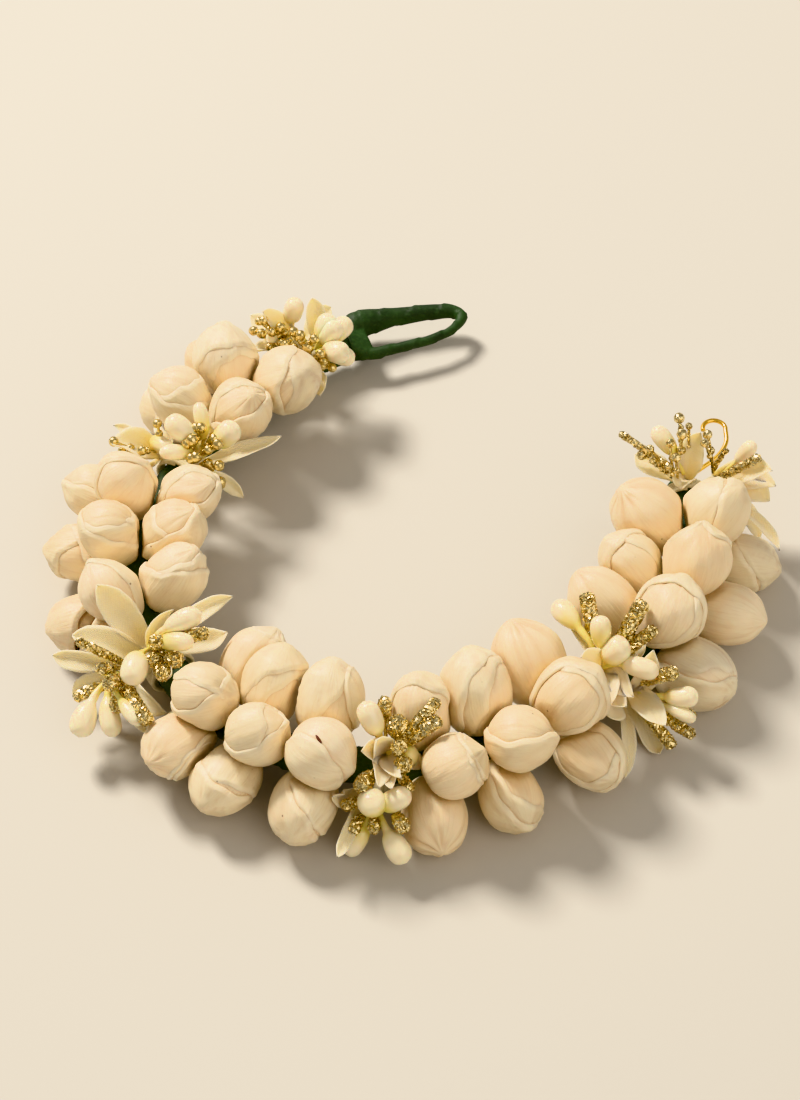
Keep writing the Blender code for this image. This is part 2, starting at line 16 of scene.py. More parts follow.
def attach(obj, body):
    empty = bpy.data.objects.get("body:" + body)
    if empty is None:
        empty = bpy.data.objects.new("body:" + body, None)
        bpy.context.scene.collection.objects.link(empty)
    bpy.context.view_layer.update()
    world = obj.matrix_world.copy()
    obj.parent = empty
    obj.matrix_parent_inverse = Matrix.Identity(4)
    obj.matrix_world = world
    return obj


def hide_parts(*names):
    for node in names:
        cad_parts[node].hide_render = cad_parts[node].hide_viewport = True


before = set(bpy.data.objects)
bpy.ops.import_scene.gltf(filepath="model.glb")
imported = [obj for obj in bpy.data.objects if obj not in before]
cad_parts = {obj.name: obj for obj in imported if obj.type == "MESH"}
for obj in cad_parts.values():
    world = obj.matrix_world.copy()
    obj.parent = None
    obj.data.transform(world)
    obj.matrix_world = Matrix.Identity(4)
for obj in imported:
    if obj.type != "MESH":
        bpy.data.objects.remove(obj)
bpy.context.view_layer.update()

MM = 0.001
GAP = 0.3
SEED = 7
UP = Vector((0.0, 0.0, 1.0))
NO_LOOK = (0.0, 0.0, 0.0, 1.0)

# The camera looks down on the garland at the photograph's angle
CAMERA_ELEVATION = 50.0
CAMERA_DISTANCE = 678.0
CAMERA_TARGET = (-3.93, 13.53, -4.8)
CAMERA_LENS = 85.09
CAMERA_LEAN = math.radians(CAMERA_ELEVATION)
TO_CAMERA = Vector((0.0, -math.cos(CAMERA_LEAN), math.sin(CAMERA_LEAN)))
CAMERA_UP = Vector((0.0, TO_CAMERA.z, -TO_CAMERA.y))

# The stem's centre line, as in the frame: arcs of (length, turn) from the loop to the hook
STEM_START = (-18.93, 75.53)
STEM_HEADING = -155.0
STEM_ARCS = ((33.0, 30.0), (25.5, 0.0), (149.0, 138.0), (118.0, 82.0))
STEM_END = 325.0
STEM_HEIGHT = 7.2
STEM_RADIUS = 4.5
STEM_STEP = 0.9

# Each row of buds, as in the frame: station, roll, stagger, sizes and spreads
Row = namedtuple("Row", "station roll stagger inner top outer spread_in spread_out")
ROWS = (
    Row(31.5, -24, 5.5, 17.5, 16.5, 15.5, 64, 60),
    Row(48.5, -36, 4.5, 16.0, 15.0, 16.0, 64, 58),
    Row(80.5, -21, 3.0, 15.0, 14.5, 15.0, 64, 55),
    Row(95.5, -26, 1.5, 15.5, 15.0, 15.0, 62, 55),
    Row(112.5, -31, 1.5, 15.5, 14.5, 15.0, 66, 58),
    Row(150.5, -19, 0.5, 16.0, 15.5, 15.5, 78, 55),
    Row(164.0, -28, 4.0, 15.5, 15.0, 15.5, 64, 56),
    Row(179.5, -28, 2.5, 16.5, 17.0, 15.5, 64, 57),
    Row(205.5, -42, 4.5, 15.0, 15.5, 15.5, 64, 50),
    Row(221.0, -33, 4.0, 18.0, 16.0, 15.0, 64, 57),
    Row(237.5, -19, 0.5, 18.0, 17.5, 15.5, 64, 60),
    Row(270.5, -19, 3.0, 16.0, 17.0, 17.5, 70, 68),
    Row(287.0, -18, 3.0, 15.0, 17.0, 15.5, 64, 62),
    Row(304.0, -24, 2.5, 18.0, 16.5, 15.0, 64, 70),
)
BUD_REACH = 15.1
BUD_LENGTH_TIP = 1.18
BUD_LENGTH_BASE = 11.0
BUD_FULLNESS = 2.2
BUD_SWELL = 1.05
NEIGHBOUR_REACH = 2.8 * BUD_REACH / 2

# A bud is a core with petal shells over it, each a cap round a middle. The middle lies at an
# angle round the picture, 0 up and 90 left, and away from the middle of the picture by so
# many degrees. The cap has a reach in degrees, a lift of its surface, a slant that lifts one
# side over its neighbour, and a point towards the middle of the picture. Each wrap is the
# core's lift, how much its grain gathers at the bud's tip, and its shells
Shell = namedtuple("Shell", "angle away reach lift slant point", defaults=(0.0, 0.0))
WRAPS = {
    "arch": (-0.7, 0.5, (Shell(-50, 150, 114, -0.35), Shell(0, 140, 95, 0.1))),
    "hood": (-0.55, 0.5, (Shell(0, 140, 95, 0.1),)),
    "half": (-0.6, 0.6, (Shell(180, 97, 99, 0.1),)),
    "cup": (-0.7, 0.5, (Shell(205, 112, 118, -0.4), Shell(180, 112, 98, 0.0, 0.1))),
    "bowl": (-0.8, 0.5, (Shell(8, 136, 98, -0.4), Shell(186, 122, 100, 0.0, 0.1))),
    "lid": (-0.7, 0.5, (Shell(197, 101, 112, -0.4), Shell(180, 97, 101, 0.0))),
    "vee": (-0.8, 0.5, (Shell(140, 112, 101, -0.4), Shell(222, 108, 99, 0.0, 0.1))),
    "swirl": (-0.8, 0.4, (Shell(95, 110, 120, -0.4), Shell(205, 125, 103, 0.0, 0.1))),
    "folds": (-0.75, 0.9, (Shell(-35, 112, 96, -0.3), Shell(212, 110, 98, 0.0, 0.1))),
    "open": (-2.2, 0.9, (Shell(70, 100, 94, 0.0), Shell(-112, 104, 82, 0.0, 0.1))),
    "fan": (-0.7, 1.0, (Shell(50, 100, 102, -0.4), Shell(-82, 84, 50, 0.0, 0.1))),
    "ear": (-0.6, 0.4, (Shell(140, 56, 66, 0.0, 0.1),)),
    "flap": (-0.5, 0.6, (Shell(-70, 80, 52, -0.3), Shell(-58, 84, 50, 0.0, 0.1))),
    "seam": (-0.7, 0.7, (Shell(-80, 100, 94, -0.4, 0.1), Shell(90, 96, 94, 0.0, 0.1))),
    "seams": (-0.75, 0.8, (Shell(94, 100, 114, -0.4, 0.1), Shell(86, 114, 98, 0.0, 0.1))),
    "tip": (-0.4, 0.9, (Shell(24, 92, 36, -0.2, 0.2), Shell(-26, 94, 38, 0.0, 0.1, 0.1))),
    "crown": (-0.2, 1.6, ()),
    "ball": (-0.25, 0.5, ()),
}
# Shells that only the far side of a bud shows: how far away and how wide they may be
BACK_AWAY = (150, 172)
BACK_REACH = (48, 62)
BACK_LIFTS = (-0.25, 0.0)
BACK_SLANT = 0.1
# For each row, the wrap of the inner, top and outer buds, with its turn in degrees and the
# depth of its folds
ROW_WRAPS = (
    (("seam", -10, 0.5), ("seams", -60, 0.5), ("ball", 0, 0.5)),
    (("bowl", 25, 0.7), ("cup", -10, 0.6), ("seam", 60, 0.5)),
    (("bowl", 15, 0.8), ("hood", 25, 0.9), ("seam", 70, 0.6)),
    (("vee", 0, 0.8), ("cup", -25, 0.6), ("folds", 80, 0.7)),
    (("lid", -5, 0.8), ("hood", -40, 0.5), ("open", 0, 1.0)),
    (("tip", -55, 0.6), ("folds", 0, 0.7), ("flap", -70, 0.7)),
    (("seams", -60, 0.6), ("swirl", 0, 0.7), ("seam", 50, 0.7)),
    (("fan", 0, 0.6), ("ear", 0, 0.8), ("seam", 25, 0.8)),
    (("hood", 0, 0.8), ("flap", 0, 0.7), ("crown", 0, 0.5)),
    (("seams", -25, 0.6), ("half", 0, 0.8), ("seams", 45, 0.8)),
    (("crown", 0, 0.5), ("arch", -15, 1.0), ("arch", -80, 0.9)),
    (("crown", 0, 0.5), ("arch", -30, 0.8), ("seam", 80, 0.4)),
    (("arch", 60, 0.8), ("tip", -5, 0.7), ("ball", 0, 0.5)),
    (("crown", 0, 0.5), ("seam", 160, 0.8), ("seam", 20, 0.4)),
)
# How far round the picture the tip of each top bud is turned, and how far away it is
TOP_TIPS = (0, 60, -50, -80, 30, -90, -70, -120, -60, -90, -40, -20, -10, -40)
TIP_AWAY = 72
# A dark fleck on one bud: where it lies in the picture of that bud, its lean and its size
FLECK_BUD = "bud_08_top"
FLECK_PLACE = (10, 22)
FLECK_LIFT = -0.3
FLECK_LEAN = 32
FLECK_SIZE = (0.4, 0.3, 1.4)
FLECK_GRID = (9, 10)
FLECK_TINT = 2.0
# Petal shells: how thick they are, their rings and columns, and the waves and lip of the rim
SHELL_THICK = 0.95
SHELL_COLUMNS = 72
SHELL_RINGS = (0.1, 0.2, 0.3, 0.4, 0.5, 0.6, 0.69, 0.77, 0.84, 0.89, 0.93, 0.96, 0.985)
RIM_TURNS = (0, 36, 72, 108, 144, 180)
INSIDE_RINGS = (0.85, 0.5)
SHELL_WAVE = 0.045
LIP = 0.28
LIP_PLACE = 0.94
LIP_WIDTH = 0.04
RIM_FALL = 0.12
RIM_START = 0.95
EDGE_START = 0.86
POINT_WIDTH = 0.35
# A bud's surface: its core, the nub at its tip, its lumps, how it is pressed flat, the folds between
# its shells and the painted shade beside them, and the creases and ridges in its grain
CORE_GRID = (42, 60)
NUB = 1.0
NUB_WIDTH = 0.26
FLOOR_SKIN = 0.05
LUMP = 0.6
LUMP_MIDDLE = 0.35
LUMP_SCALE = 0.14
PRESS_SOFTNESS = 0.5
FOLD_WIDTH = 0.06
FOLD_DEPTH = 0.25
FOLD_RISE = (0.02, 0.3)
GATHER_WIDTH = 0.9
TIP_SMOOTH = (0.05, 0.3)
CREASE_DEPTH = 0.36
CREASE_WIDTH = 0.12
CREASE_SCALE = (1.7, 0.35)
RIDGE = 0.34
RIDGE_SCALE = (4.5, 0.6)
FIBRE_STRETCH = 0.1
FIBRE_STEP = 9.0
SEEDS = 40.0
TINT_SHARE = 0.75

# Each spray has two bunches, placed as in the frame, and runs of items that stand in them: what
# they are, which bunch they stand in, and for each its tip as azimuth, spread and reach from the
# bunch's head, and its half width or radius
Bunch = namedtuple("Bunch", "station roll head")
SPRAYS = (
    (
        (Bunch(13, -35, 10), Bunch(13, 30, 13)),
        ("petal", 0, ((-80, 78, 16, 3.0), (-20, 98, 12, 3.0), (170, 88, 13, 3.2))),
        ("leaf", 0, ((28, 45, 14, 3.0),)),
        ("petal", 1, ((-115, 78, 14, 2.8), (60, 95, 13, 3.0))),
        ("pip", 0, ((110, 40, 11, 2.6),)),
        ("pip", 1, ((-170, 65, 12, 2.8), (125, 65, 11, 2.8), (-135, 45, 11, 2.9), (-158, 34, 11, 2.9),
            (110, 36, 12, 2.9))),
        ("pip", 0, ((19, 83, 9, 1.8),)),
        ("bead", 0, ((-15, 65, 10, 1.3), (25, 50, 11, 1.3), (5, 68, 9, 1.3), (50, 62, 8, 1.4),
            (-45, 55, 9, 1.3))),
        ("bead", 1, ((-60, 75, 8, 1.3), (-30, 80, 9, 1.3), (0, 45, 7, 1.4), (40, 65, 8, 1.4),
            (85, 60, 8, 1.3))),
        ("bead", 0, ((-28, 68, 10, 1.2), (33, 67, 9, 1.3), (19, 92, 9, 1.2), (56, 94, 7, 1.4),
            (43, 92, 8, 1.3))),
        ("bead", 1, ((-44, 44, 9, 1.4), (-11, 42, 7, 1.3), (46, 28, 8, 1.4), (-36, 20, 8, 1.3),
            (61, 41, 8, 1.3))),
        ("bead", 0, ((5, 75, 7, 1.3),)),
    ),
    (
        (Bunch(64, 35, 14), Bunch(64, -45, 11)),
        ("petal", 0, ((142, 68, 21, 2.4), (92, 97, 14.6, 2.0), (-165, 85, 14, 2.8))),
        ("petal", 1, ((-112, 70, 17, 1.8), (-10, 85, 15, 2.6), (-170, 80, 15, 2.6))),
        ("leaf", 1, ((-1, 54, 12.6, 4.3),)),
        ("pip", 0, ((-84, 76, 14.4, 2.9), (-124, 66, 14.2, 1.9), (-179, 28, 13.7, 3.2),
            (-46, 84, 13.1, 2.1))),
        ("pip", 1, ((73, 108, 10, 2.2),)),
        ("bead", 1, ((88, 60, 9.7, 1.3), (0, 46, 11.8, 1.3), (40, 75, 11.2, 1.3), (-42, 79, 13.6, 1.3))),
        ("bead", 0, ((-106, 43, 9, 1.5), (-64, 44, 9, 1.6), (-160, 49, 6, 1.4), (-35, 4, 10, 1.4),
            (-21, 44, 8, 1.6), (-24, 18, 8, 1.3), (48, 34, 9, 1.3), (65, 77, 8.8, 1.2), (50, 70, 9, 1.5),
            (-20, 55, 8, 1.5), (-60, 55, 8, 1.5), (-100, 50, 9, 1.5), (-172, 17, 9, 1.4),
            (-127, 15, 8, 1.5), (20, 50, 7, 1.5))),
        ("bead", 1, ((-10, 60, 9, 1.2),)),
    ),
    (
        (Bunch(131, -24, 14), Bunch(130, -62, 16)),
        ("petal", 0, ((178, 66, 19, 4.2), (-132, 68, 18, 4.0), (88, 100, 24, 2.4), (62, 110, 20, 3.2),
            (4, 88, 12.8, 3.0))),
        ("petal", 1, ((-122, 84, 16, 2.7), (-152, 70, 18, 2.7), (-5, 112, 17, 2.2), (-80, 98, 15, 2.2),
            (-26, 107, 17, 2.3))),
        ("leaf", 0, ((106, 79, 11, 1.9),)),
        ("pip", 0, ((72, 78, 17.1, 2.8), (46, 78, 14.6, 2.4), (-39, 67, 12.8, 3.2))),
        ("pip", 1, ((-54, 56, 18.2, 3.1), (-34, 78, 16.2, 2.6), (2, 82, 19.2, 1.9))),
        ("gold", 0, ((55, 81, 17.6, 1.5),)),
        ("gold", 1, ((96, 36, 17.8, 1.1), (-92, 45, 11.5, 1.4), (8, 83, 21.2, 1.8))),
        ("lump", 1, ((22, 46, 10.2, 2.0), (-10, 68, 12, 2.1))),
        ("lump", 0, ((39, 43, 9, 1.8), (0, 63, 8, 1.7), (24, 80, 11.9, 2.1), (-1, 78, 12.2, 1.8))),
        ("lump", 1, ((60, 30, 9, 1.5),)),
    ),
    (
        (Bunch(194, -20, 13), Bunch(192, -75, 14)),
        ("petal", 1, ((-149, 37, 17.2, 1.8), (172, 88, 13, 2.2))),
        ("leaf", 0, ((-165, 42, 9.5, 3.2), (-178, 19, 9.8, 3.6), (-76, 58, 11.4, 2.4),
            (-100, 66, 11.6, 2.8))),
        ("pip", 0, ((118, 54, 13.6, 2.9), (-12, 110, 12.5, 2.6))),
        ("pip", 1, ((100, 51, 9, 3.3), (44, 70, 11.6, 2.8), (-120, 72, 14.4, 2.5), (-46, 44, 15.8, 3.1))),
        ("gold", 0, ((39, 62, 18, 1.5), (21, 55, 16.4, 1.5))),
        ("lump", 0, ((88, 77, 12.6, 1.6), (60, 43, 9.8, 2.4), (-14, 22, 9, 1.8), (-46, 49, 9.5, 1.9),
            (-60, 78, 12, 1.3), (-122, 78, 12.2, 2.1))),
        ("lump", 1, ((174, 76, 8.1, 1.4), (-140, 51, 9.4, 1.6), (-95, 12, 8, 1.4), (1, 38, 11.6, 1.8))),
        ("leaf", 0, ((-84, 72, 11.4, 2.6),)),
    ),
    (
        (Bunch(252, 0, 10), Bunch(255, -65, 11)),
        ("petal", 0, ((-25, 88, 12, 2.4), (-115, 98, 13, 3.0))),
        ("petal", 1, ((165, 82, 14.2, 3.2), (-141, 78, 21, 2.0), (-102, 80, 19.1, 2.6))),
        ("leaf", 0, ((80, 87, 16.6, 1.3), (162, 43, 10.8, 3.4), (-130, 99, 13, 3.6),
            (-101, 96, 11.4, 3.4))),
        ("leaf", 1, ((-150, 32, 12.6, 3.5), (71, 96, 10.4, 1.3), (66, 78, 12.4, 3.2))),
        ("pip", 0, ((81, 78, 19.6, 2.8), (54, 29, 13, 2.7), (-40, 34, 9.9, 3.2), (-65, 78, 14.4, 2.5))),
        ("pip", 1, ((-5, 23, 15, 2.6), (-65, 20, 15.6, 1.6))),
        ("gold", 0, ((60, 58, 17.9, 2.0), (1, 48, 18.6, 1.8), (-19, 63, 16.7, 1.5))),
        ("gold", 1, ((49, 40, 12.3, 1.8), (-60, 20, 15, 1.4), (-80, 38, 16.4, 1.4), (-100, 54, 15, 1.4))),
    ),
    (
        (Bunch(321, 5, 10), Bunch(321, -45, 13)),
        ("leaf", 0, ((-41, 34, 12.2, 3.5),)),
        ("petal", 0, ((60, 96, 14.4, 3.4),)),
        ("leaf", 1, ((-154, 24, 15, 3.5), (-108, 50, 13.4, 3.6), (-122, 68, 13.4, 4.8))),
        ("petal", 1, ((-138, 83, 24.4, 1.8), (-118, 100, 20, 2.6))),
        ("pip", 0, ((40, 52, 14.2, 2.4),)),
        ("pip", 1, ((96, 17, 13.6, 2.0),)),
        ("gold", 0, ((60, 69, 19.5, 0.9), (92, 52, 11, 0.8))),
        ("gold", 1, ((144, 30, 17, 1.0), (86, 45, 9, 0.7))),
        ("gold", 0, ((3, 31, 13, 0.7), (-18, 36, 10, 0.7))),
        ("bead", 0, ((65, 77, 11.9, 1.3), (86, 42, 13, 1.1), (0, 68, 15, 1.4), (16, 8, 13, 1.4),
            (70, 20, 11, 1.1), (139, 22, 10, 1.2), (122, 40, 8.1, 1.1))),
        ("bead", 1, ((81, 67, 14, 1.3), (96, 70, 14.9, 1.1))),
        ("bead", 0, ((-21, 17, 14, 1.0),)),
        ("leaf", 0, ((166, 84, 7, 3.0),)),
    ),
)
BEADED_SPRAYS = 2
NEAR_BUDS = 48.0
CLEAR_PASSES = 3

# A line that rises from a bunch: its control point at a share of the tip's spread and of its
# reach, and the stations along it
Rise = namedtuple("Rise", "spread reach stations")
LEAF_RISE = Rise(0.7, 0.5, (0.0, 0.25, 0.5, 0.75, 1.0))
PIP_RISE = Rise(0.5, 0.45, (0.0, 0.3, 0.5, 0.8, 1.0))
GOLD_RISE = Rise(0.75, 0.4, (0.0, 0.35, 0.8, 1.0))

# Woven petals, whose widths are (share of the length, share of the half width)
PETAL_DROP = 4.4
PETAL_LOWEST = 6.2
PETAL_SHOULDER = 4.4
SHOULDER_SPREAD = 84
PETAL_ARCH = 0.14
PETAL_STATIONS = (0.25, 0.52, 0.8)
PETAL_ROOM = 0.6
PETAL_WIDTHS = ((0.0, 0.26), (0.2, 0.48), (0.42, 0.86), (0.6, 1.0), (0.78, 0.82), (0.92, 0.38), (1.0, 0.03))
PETAL_FACING = 0.9
LEAF_DROP = 3.0
LEAF_ROOM = 0.8
LEAF_WIDTHS = ((0.0, 0.4), (0.15, 0.68), (0.38, 1.0), (0.6, 0.94), (0.8, 0.62), (0.93, 0.28), (1.0, 0.03))
LEAF_FACING = 2.5
ROOT_SHIFT = 0.4
ROOT_CLEARANCE = 46.0
PETAL_RINGS = 20
PETAL_COLUMNS = 9
PETAL_THICK = 0.35
PETAL_CUP = 0.4
PETAL_RIM = 0.22
PETAL_RUFFLE = 0.35
PETAL_CURL = 2.2
PETAL_SWAY = 1.4
BEND_START = 0.7
TWIST = (14.0, 26.0)
TWIST_WIDTH = 3.8
TWIST_START = 0.35
WEAVE_LENGTH = 18.0
WEAVE_PITCH = 0.55
PETAL_FIXED = 4
SHEET_PASSES = 4
SHEET_PUSH = 1.4
SHEET_CLEARANCE = 0.5
SHEET_LAST_CLEARANCE = 0.3

# Pips, gold and thread. A grid is a tube's rings and sides, or a ball's falls and columns
PIP_DROP = 0.8
PIP_ROOMS = (0.7, 0.8, 2.1, 2.6, 1.0)
PIP_STALK = 0.6
PIP_NECK = 0.36
PIP_BULB = 8.4
PIP_RIPE = (0.48, 0.84)
PIP_VARIETY = (0.94, 1.06)
PIP_GRID = (32, 18)
GOLD_SIZES = (0.35, 0.75, 0.85, 0.45)
GOLD_ROOM = 0.4
BEAD_SIZES = (0.5, 0.55, 1.3, 0.7)
BEAD_WIRE = 0.4
BEAD_GRID = (10, 16)
BEAD_LUMPS = 0.12
BEAD_LUMP_SCALE = 2.2
BEAD_SEEDS = 50.0
BEAD_VARIETY = (0.9, 1.1)
LOWER_BEAD = (0.65, 0.9)
GOLD_VARIETY = (0.9, 1.1)
LUMP_LENGTH = 5.6
LUMP_WIRE = 0.5
WIRE_GRID = (8, 8)
GRAIN = 0.37
GRAIN_JITTER = 0.26
LEAST_GRAINS = 10
STALK_FOOT = 5.6
STALK_DROP = 2.4
STALK_RADIUS = 1.4
STALK_GRID = (10, 12)
THREAD_RADIUS = 0.55
COIL_TURNS = 4
COIL_STEPS = 28
COIL_WIDTH = 3.0
COIL_RADIUS = 5.7
COIL_SIDES = 8
RING_DROP = 1.9
RING_MIDDLE = 2.7
RING_SPREAD = 80
RING_MARGIN = 0.9
BUD_MARGIN = 0.25

# Tape, and the loop's strands as (reach along the loop, offset to its side, radius)
TAPE_PITCH = 7.0
TAPE_LAP = 0.3
TAPE_EDGE = 0.12
TAPE_EDGE_SHARE = 0.06
STEM_SIDES = 28
LOOP_STRANDS = (
    (2.0, 4.4, 3.2), (5.0, 6.6, 4.2), (9.5, 6.8, 3.7), (16.0, 6.1, 2.7), (24.0, 4.7, 2.4), (30.5, 3.0, 2.2),
    (33.4, 0.0, 1.8), (30.5, -3.4, 1.4), (26.0, -5.0, 1.4), (20.0, -5.6, 1.5), (13.0, -5.3, 1.6),
    (6.5, -5.0, 1.8), (2.4, -3.6, 2.0),
)
LOOP_TURN = 21.0
LOOP_START = 0.7
LOOP_LENGTH = 74.0
LOOP_WEB = ((0.0, 1.0, 1.0), (3.0, 1.42, 0.72), (6.0, 1.3, 0.5))
LOOP_GRID = (110, 24)
LOOP_WEB_GRID = (9, 24)
LOOP_WEB_STEP = 0.75
LOOP_WEB_RADIUS = 4.2
LOOP_VOXEL = 0.35
HOOK_WIRE = 0.6
HOOK_SHANK = ((0.0, 0.0, 0.0), (0.2, 2.0, 0.0), (4.5, 5.0, 0.6), (9.6, 9.0, 1.6), (12.0, 13.0, 2.4))
HOOK_CENTRE = (9.2, 17.4, 3.0)
HOOK_RADIUS = 3.0
HOOK_ARC = (-10.0, 190.0)
HOOK_STEPS = 9
HOOK_GRID = (90, 16)

Place = namedtuple("Place", "origin along across outward")
Bud = namedtuple("Bud", "name place centre axis radius tip_turn")
Wall = namedtuple("Wall", "centre axis radius stretch")
Wrap = namedtuple("Wrap", "view shells turn depth gather seed")


# Places on and around the stem, as in the frame

def stem_point(station):
    """Return the stem's (x, y) and heading in radians at a station."""
    x, y = STEM_START
    heading = math.radians(STEM_HEADING)
    left = station
    for length, turn in STEM_ARCS:
        run = min(left, length)
        bend = math.radians(turn) / length
        if bend == 0.0:
            x += run * math.cos(heading)
            y += run * math.sin(heading)
        else:
            x += (math.sin(heading + bend * run) - math.sin(heading)) / bend
            y -= (math.cos(heading + bend * run) - math.cos(heading)) / bend
        heading += bend * run
        left -= run
        if left <= 0.0:
            break
    return x, y, heading


def swing(first, second, degrees):
    """A direction turned from a first one towards a second one."""
    angle = math.radians(degrees)
    return first * math.cos(angle) + second * math.sin(angle)


def around(station, roll):
    """The place at a roll round the stem: an origin on its line, and the axes there."""
    x, y, heading = stem_point(station)
    along = Vector((math.cos(heading), math.sin(heading), 0.0))
    inward = Vector((-math.sin(heading), math.cos(heading), 0.0))
    return Place(Vector((x, y, STEM_HEIGHT)), along, swing(inward, -UP, roll), swing(UP, inward, roll))


def direction(place, azimuth, spread):
    """Turn an azimuth and a spread round a bunch's axis into a unit vector."""
    return swing(place.outward, swing(place.along, place.across, azimuth), spread)


def bezier(start, control, end, t):
    return start * (1 - t) ** 2 + control * (2 * t * (1 - t)) + end * t ** 2


def smooth_step(low, high, value):
    t = np.clip((value - low) / (high - low), 0.0, 1.0)
    return t * t * (3 - 2 * t)


def bell(value, width):
    return np.exp(-(value / width) ** 2)


# Meshes and pieces

class Heap:
    """Points, faces and looks gathered from several closed forms into one mesh."""

    def __init__(self, *forms):
        self.points = []
        self.faces = []
        self.looks = []
        for form in forms:
            self.add(*form)

    def add(self, points, faces, looks):
        base = len(self.points)
        self.points.extend(points)
        self.faces.extend(tuple(corner + base for corner in face) for face in faces)
        self.looks.extend(looks)

    def mesh(self, name, smooth=True):
        """Make the mesh, with the looks as a colour on each of its points."""
        mesh = bpy.data.meshes.new(name)
        mesh.from_pydata([tuple(point * MM) for point in self.points], [], self.faces)
        mesh.validate()
        layer = mesh.attributes.new("looks", "FLOAT_COLOR", "POINT")
        layer.data.foreach_set("color", np.asarray(self.looks, np.float32).ravel())
        shape = bmesh.new()
        shape.from_mesh(mesh)
        bmesh.ops.recalc_face_normals(shape, faces=shape.faces)
        shape.to_mesh(mesh)
        shape.free()
        if smooth:
            mesh.shade_smooth()
        return mesh


def add_object(name, data):
    item = bpy.data.objects.new(name, data)
    bpy.context.scene.collection.objects.link(item)
    return item


def add_piece(name, mesh, material, slot, *nodes):
    piece = add_object(name, mesh)
    mesh.materials.append(material)
    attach(piece, "root")
    if nodes:
        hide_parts(*nodes)
    return piece


def grid_faces(rings, columns):
    """Faces of a closed form whose points are rings of columns, then a pole for each end."""
    faces = []
    first_pole = rings * columns
    end = first_pole - columns
    for k in range(columns):
        after = (k + 1) % columns
        faces.append((first_pole, k, after))
        for low in range(0, end, columns):
            faces.append((low + k, low + columns + k, low + columns + after, low + after))
        faces.append((first_pole + 1, end + after, end + k))
    return faces


def ball_ways(falls, columns):
    """Unit directions over a ball: rings of columns between its poles, then the poles."""
    ways = []
    for ring in range(1, falls):
        fall = math.pi * ring / falls
        out = math.sin(fall)
        for k in range(columns):
            angle = math.tau * k / columns
            ways.append((out * math.cos(angle), out * math.sin(angle), math.cos(fall)))
    return ways + [(0.0, 0.0, 1.0), (0.0, 0.0, -1.0)]


# Buds

def bud_list():
    buds = []
    for number, (row, tip_turn) in enumerate(zip(ROWS, TOP_TIPS), 1):
        places = (
            ("inner", row.spread_in, -0.5, row.inner),
            ("top", 0.0, 0.5, row.top),
            ("outer", -row.spread_out, -0.5, row.outer),
        )
        for place, spread, lead, size in places:
            origin, _, _, axis = around(row.station + lead * row.stagger, row.roll + spread)
            name = f"bud_{number:02d}_{place}"
            buds.append(Bud(name, place, origin + axis * BUD_REACH, axis, BUD_SWELL * size / 2, tip_turn))
    return buds


def press_planes(bud, buds, turned):
    """Planes, in the bud's own axes, that its outermost surface is pressed against."""
    planes = [(-bud.axis, BUD_REACH - STEM_RADIUS - GAP)]
    for other in buds:
        apart = other.centre - bud.centre
        distance = apart.length
        if other is bud or distance > NEIGHBOUR_REACH:
            continue
        share = (distance ** 2 + bud.radius ** 2 - other.radius ** 2) / (2 * distance)
        planes.append((apart / distance, share - GAP / 2))
    return [(np.array(turned @ normal), limit) for normal, limit in planes]


def bud_axes(bud):
    """Columns are the bud's own x, y and z in the frame: z is its tip, y is azimuth 0."""
    facing = CAMERA_UP if bud.place == "top" else TO_CAMERA
    ahead = (facing - bud.axis * facing.dot(bud.axis)).normalized()
    return Matrix((ahead.cross(bud.axis), ahead, bud.axis)).transposed()


def angles_from(ways, middle):
    return np.arccos(np.clip(ways @ middle, -1, 1))


def bud_surface(ways, lift, bud, planes, wrap):
    """Place unit directions on a bud's surface at a lift above or below it, in millimetres."""
    height = ways[:, 2]
    ring = np.sqrt(np.clip(1 - height ** 2, 1e-9, 1.0))
    sides = ways[:, :2] / ring[:, None]
    length = np.where(height > 0, bud.radius * BUD_LENGTH_TIP, BUD_LENGTH_BASE)
    full = bud.radius * (1 - np.abs(height) ** BUD_FULLNESS) ** (1 / BUD_FULLNESS)
    start = Vector((wrap.seed, 0, 0))
    lumps = np.array([noise.noise(Vector(way) * bud.radius * LUMP_SCALE + start) for way in ways])
    lift = lift + LUMP * (lumps - LUMP_MIDDLE)
    points = np.empty_like(ways)
    points[:, :2] = sides * (full + lift * ring)[:, None]
    points[:, 2] = height * (length + lift)
    points += np.outer(NUB * bell(angles_from(ways, wrap.view.tip), NUB_WIDTH), wrap.view.tip)
    for normal, limit in planes:
        press(points, normal, limit + lift)
    press(points, wrap.view.down, np.full(len(ways), bud.centre.z - FLOOR_SKIN))
    return points


def press(points, normal, room):
    """Draw points that reach past a plane back to just inside it."""
    reach = points @ normal
    start = room - PRESS_SOFTNESS
    over = np.maximum(reach - start, 0.0)
    held = start + PRESS_SOFTNESS * (1 - np.exp(-over / PRESS_SOFTNESS))
    points *= np.where(over > 0, held / np.maximum(reach, 1e-6), 1.0)[:, None]


class View:
    """The picture's own axes as a bud sees them, and the tip that its grain runs to."""

    def __init__(self, bud, axes):
        turned = axes.transposed()
        self.near = np.array(turned @ TO_CAMERA)
        self.up = np.array(turned @ CAMERA_UP)
        self.left = np.cross(self.near, self.up)
        self.down = np.array(turned @ -UP)
        self.tip = self.way(bud.tip_turn, TIP_AWAY) if bud.place == "top" else np.array((0.0, 0.0, 1.0))

    def way(self, angle, away):
        return swing(self.near, swing(self.up, self.left, angle), away)


def grain_place(ways, view):
    """The way round a bud's tip, as a cosine and a sine, and the angle down from it."""
    side = np.cross(view.tip, view.near)
    side /= np.linalg.norm(side)
    other = np.cross(view.tip, side)
    around_tip = np.arctan2(ways @ other, ways @ side)
    return np.cos(around_tip), np.sin(around_tip), angles_from(ways, view.tip)


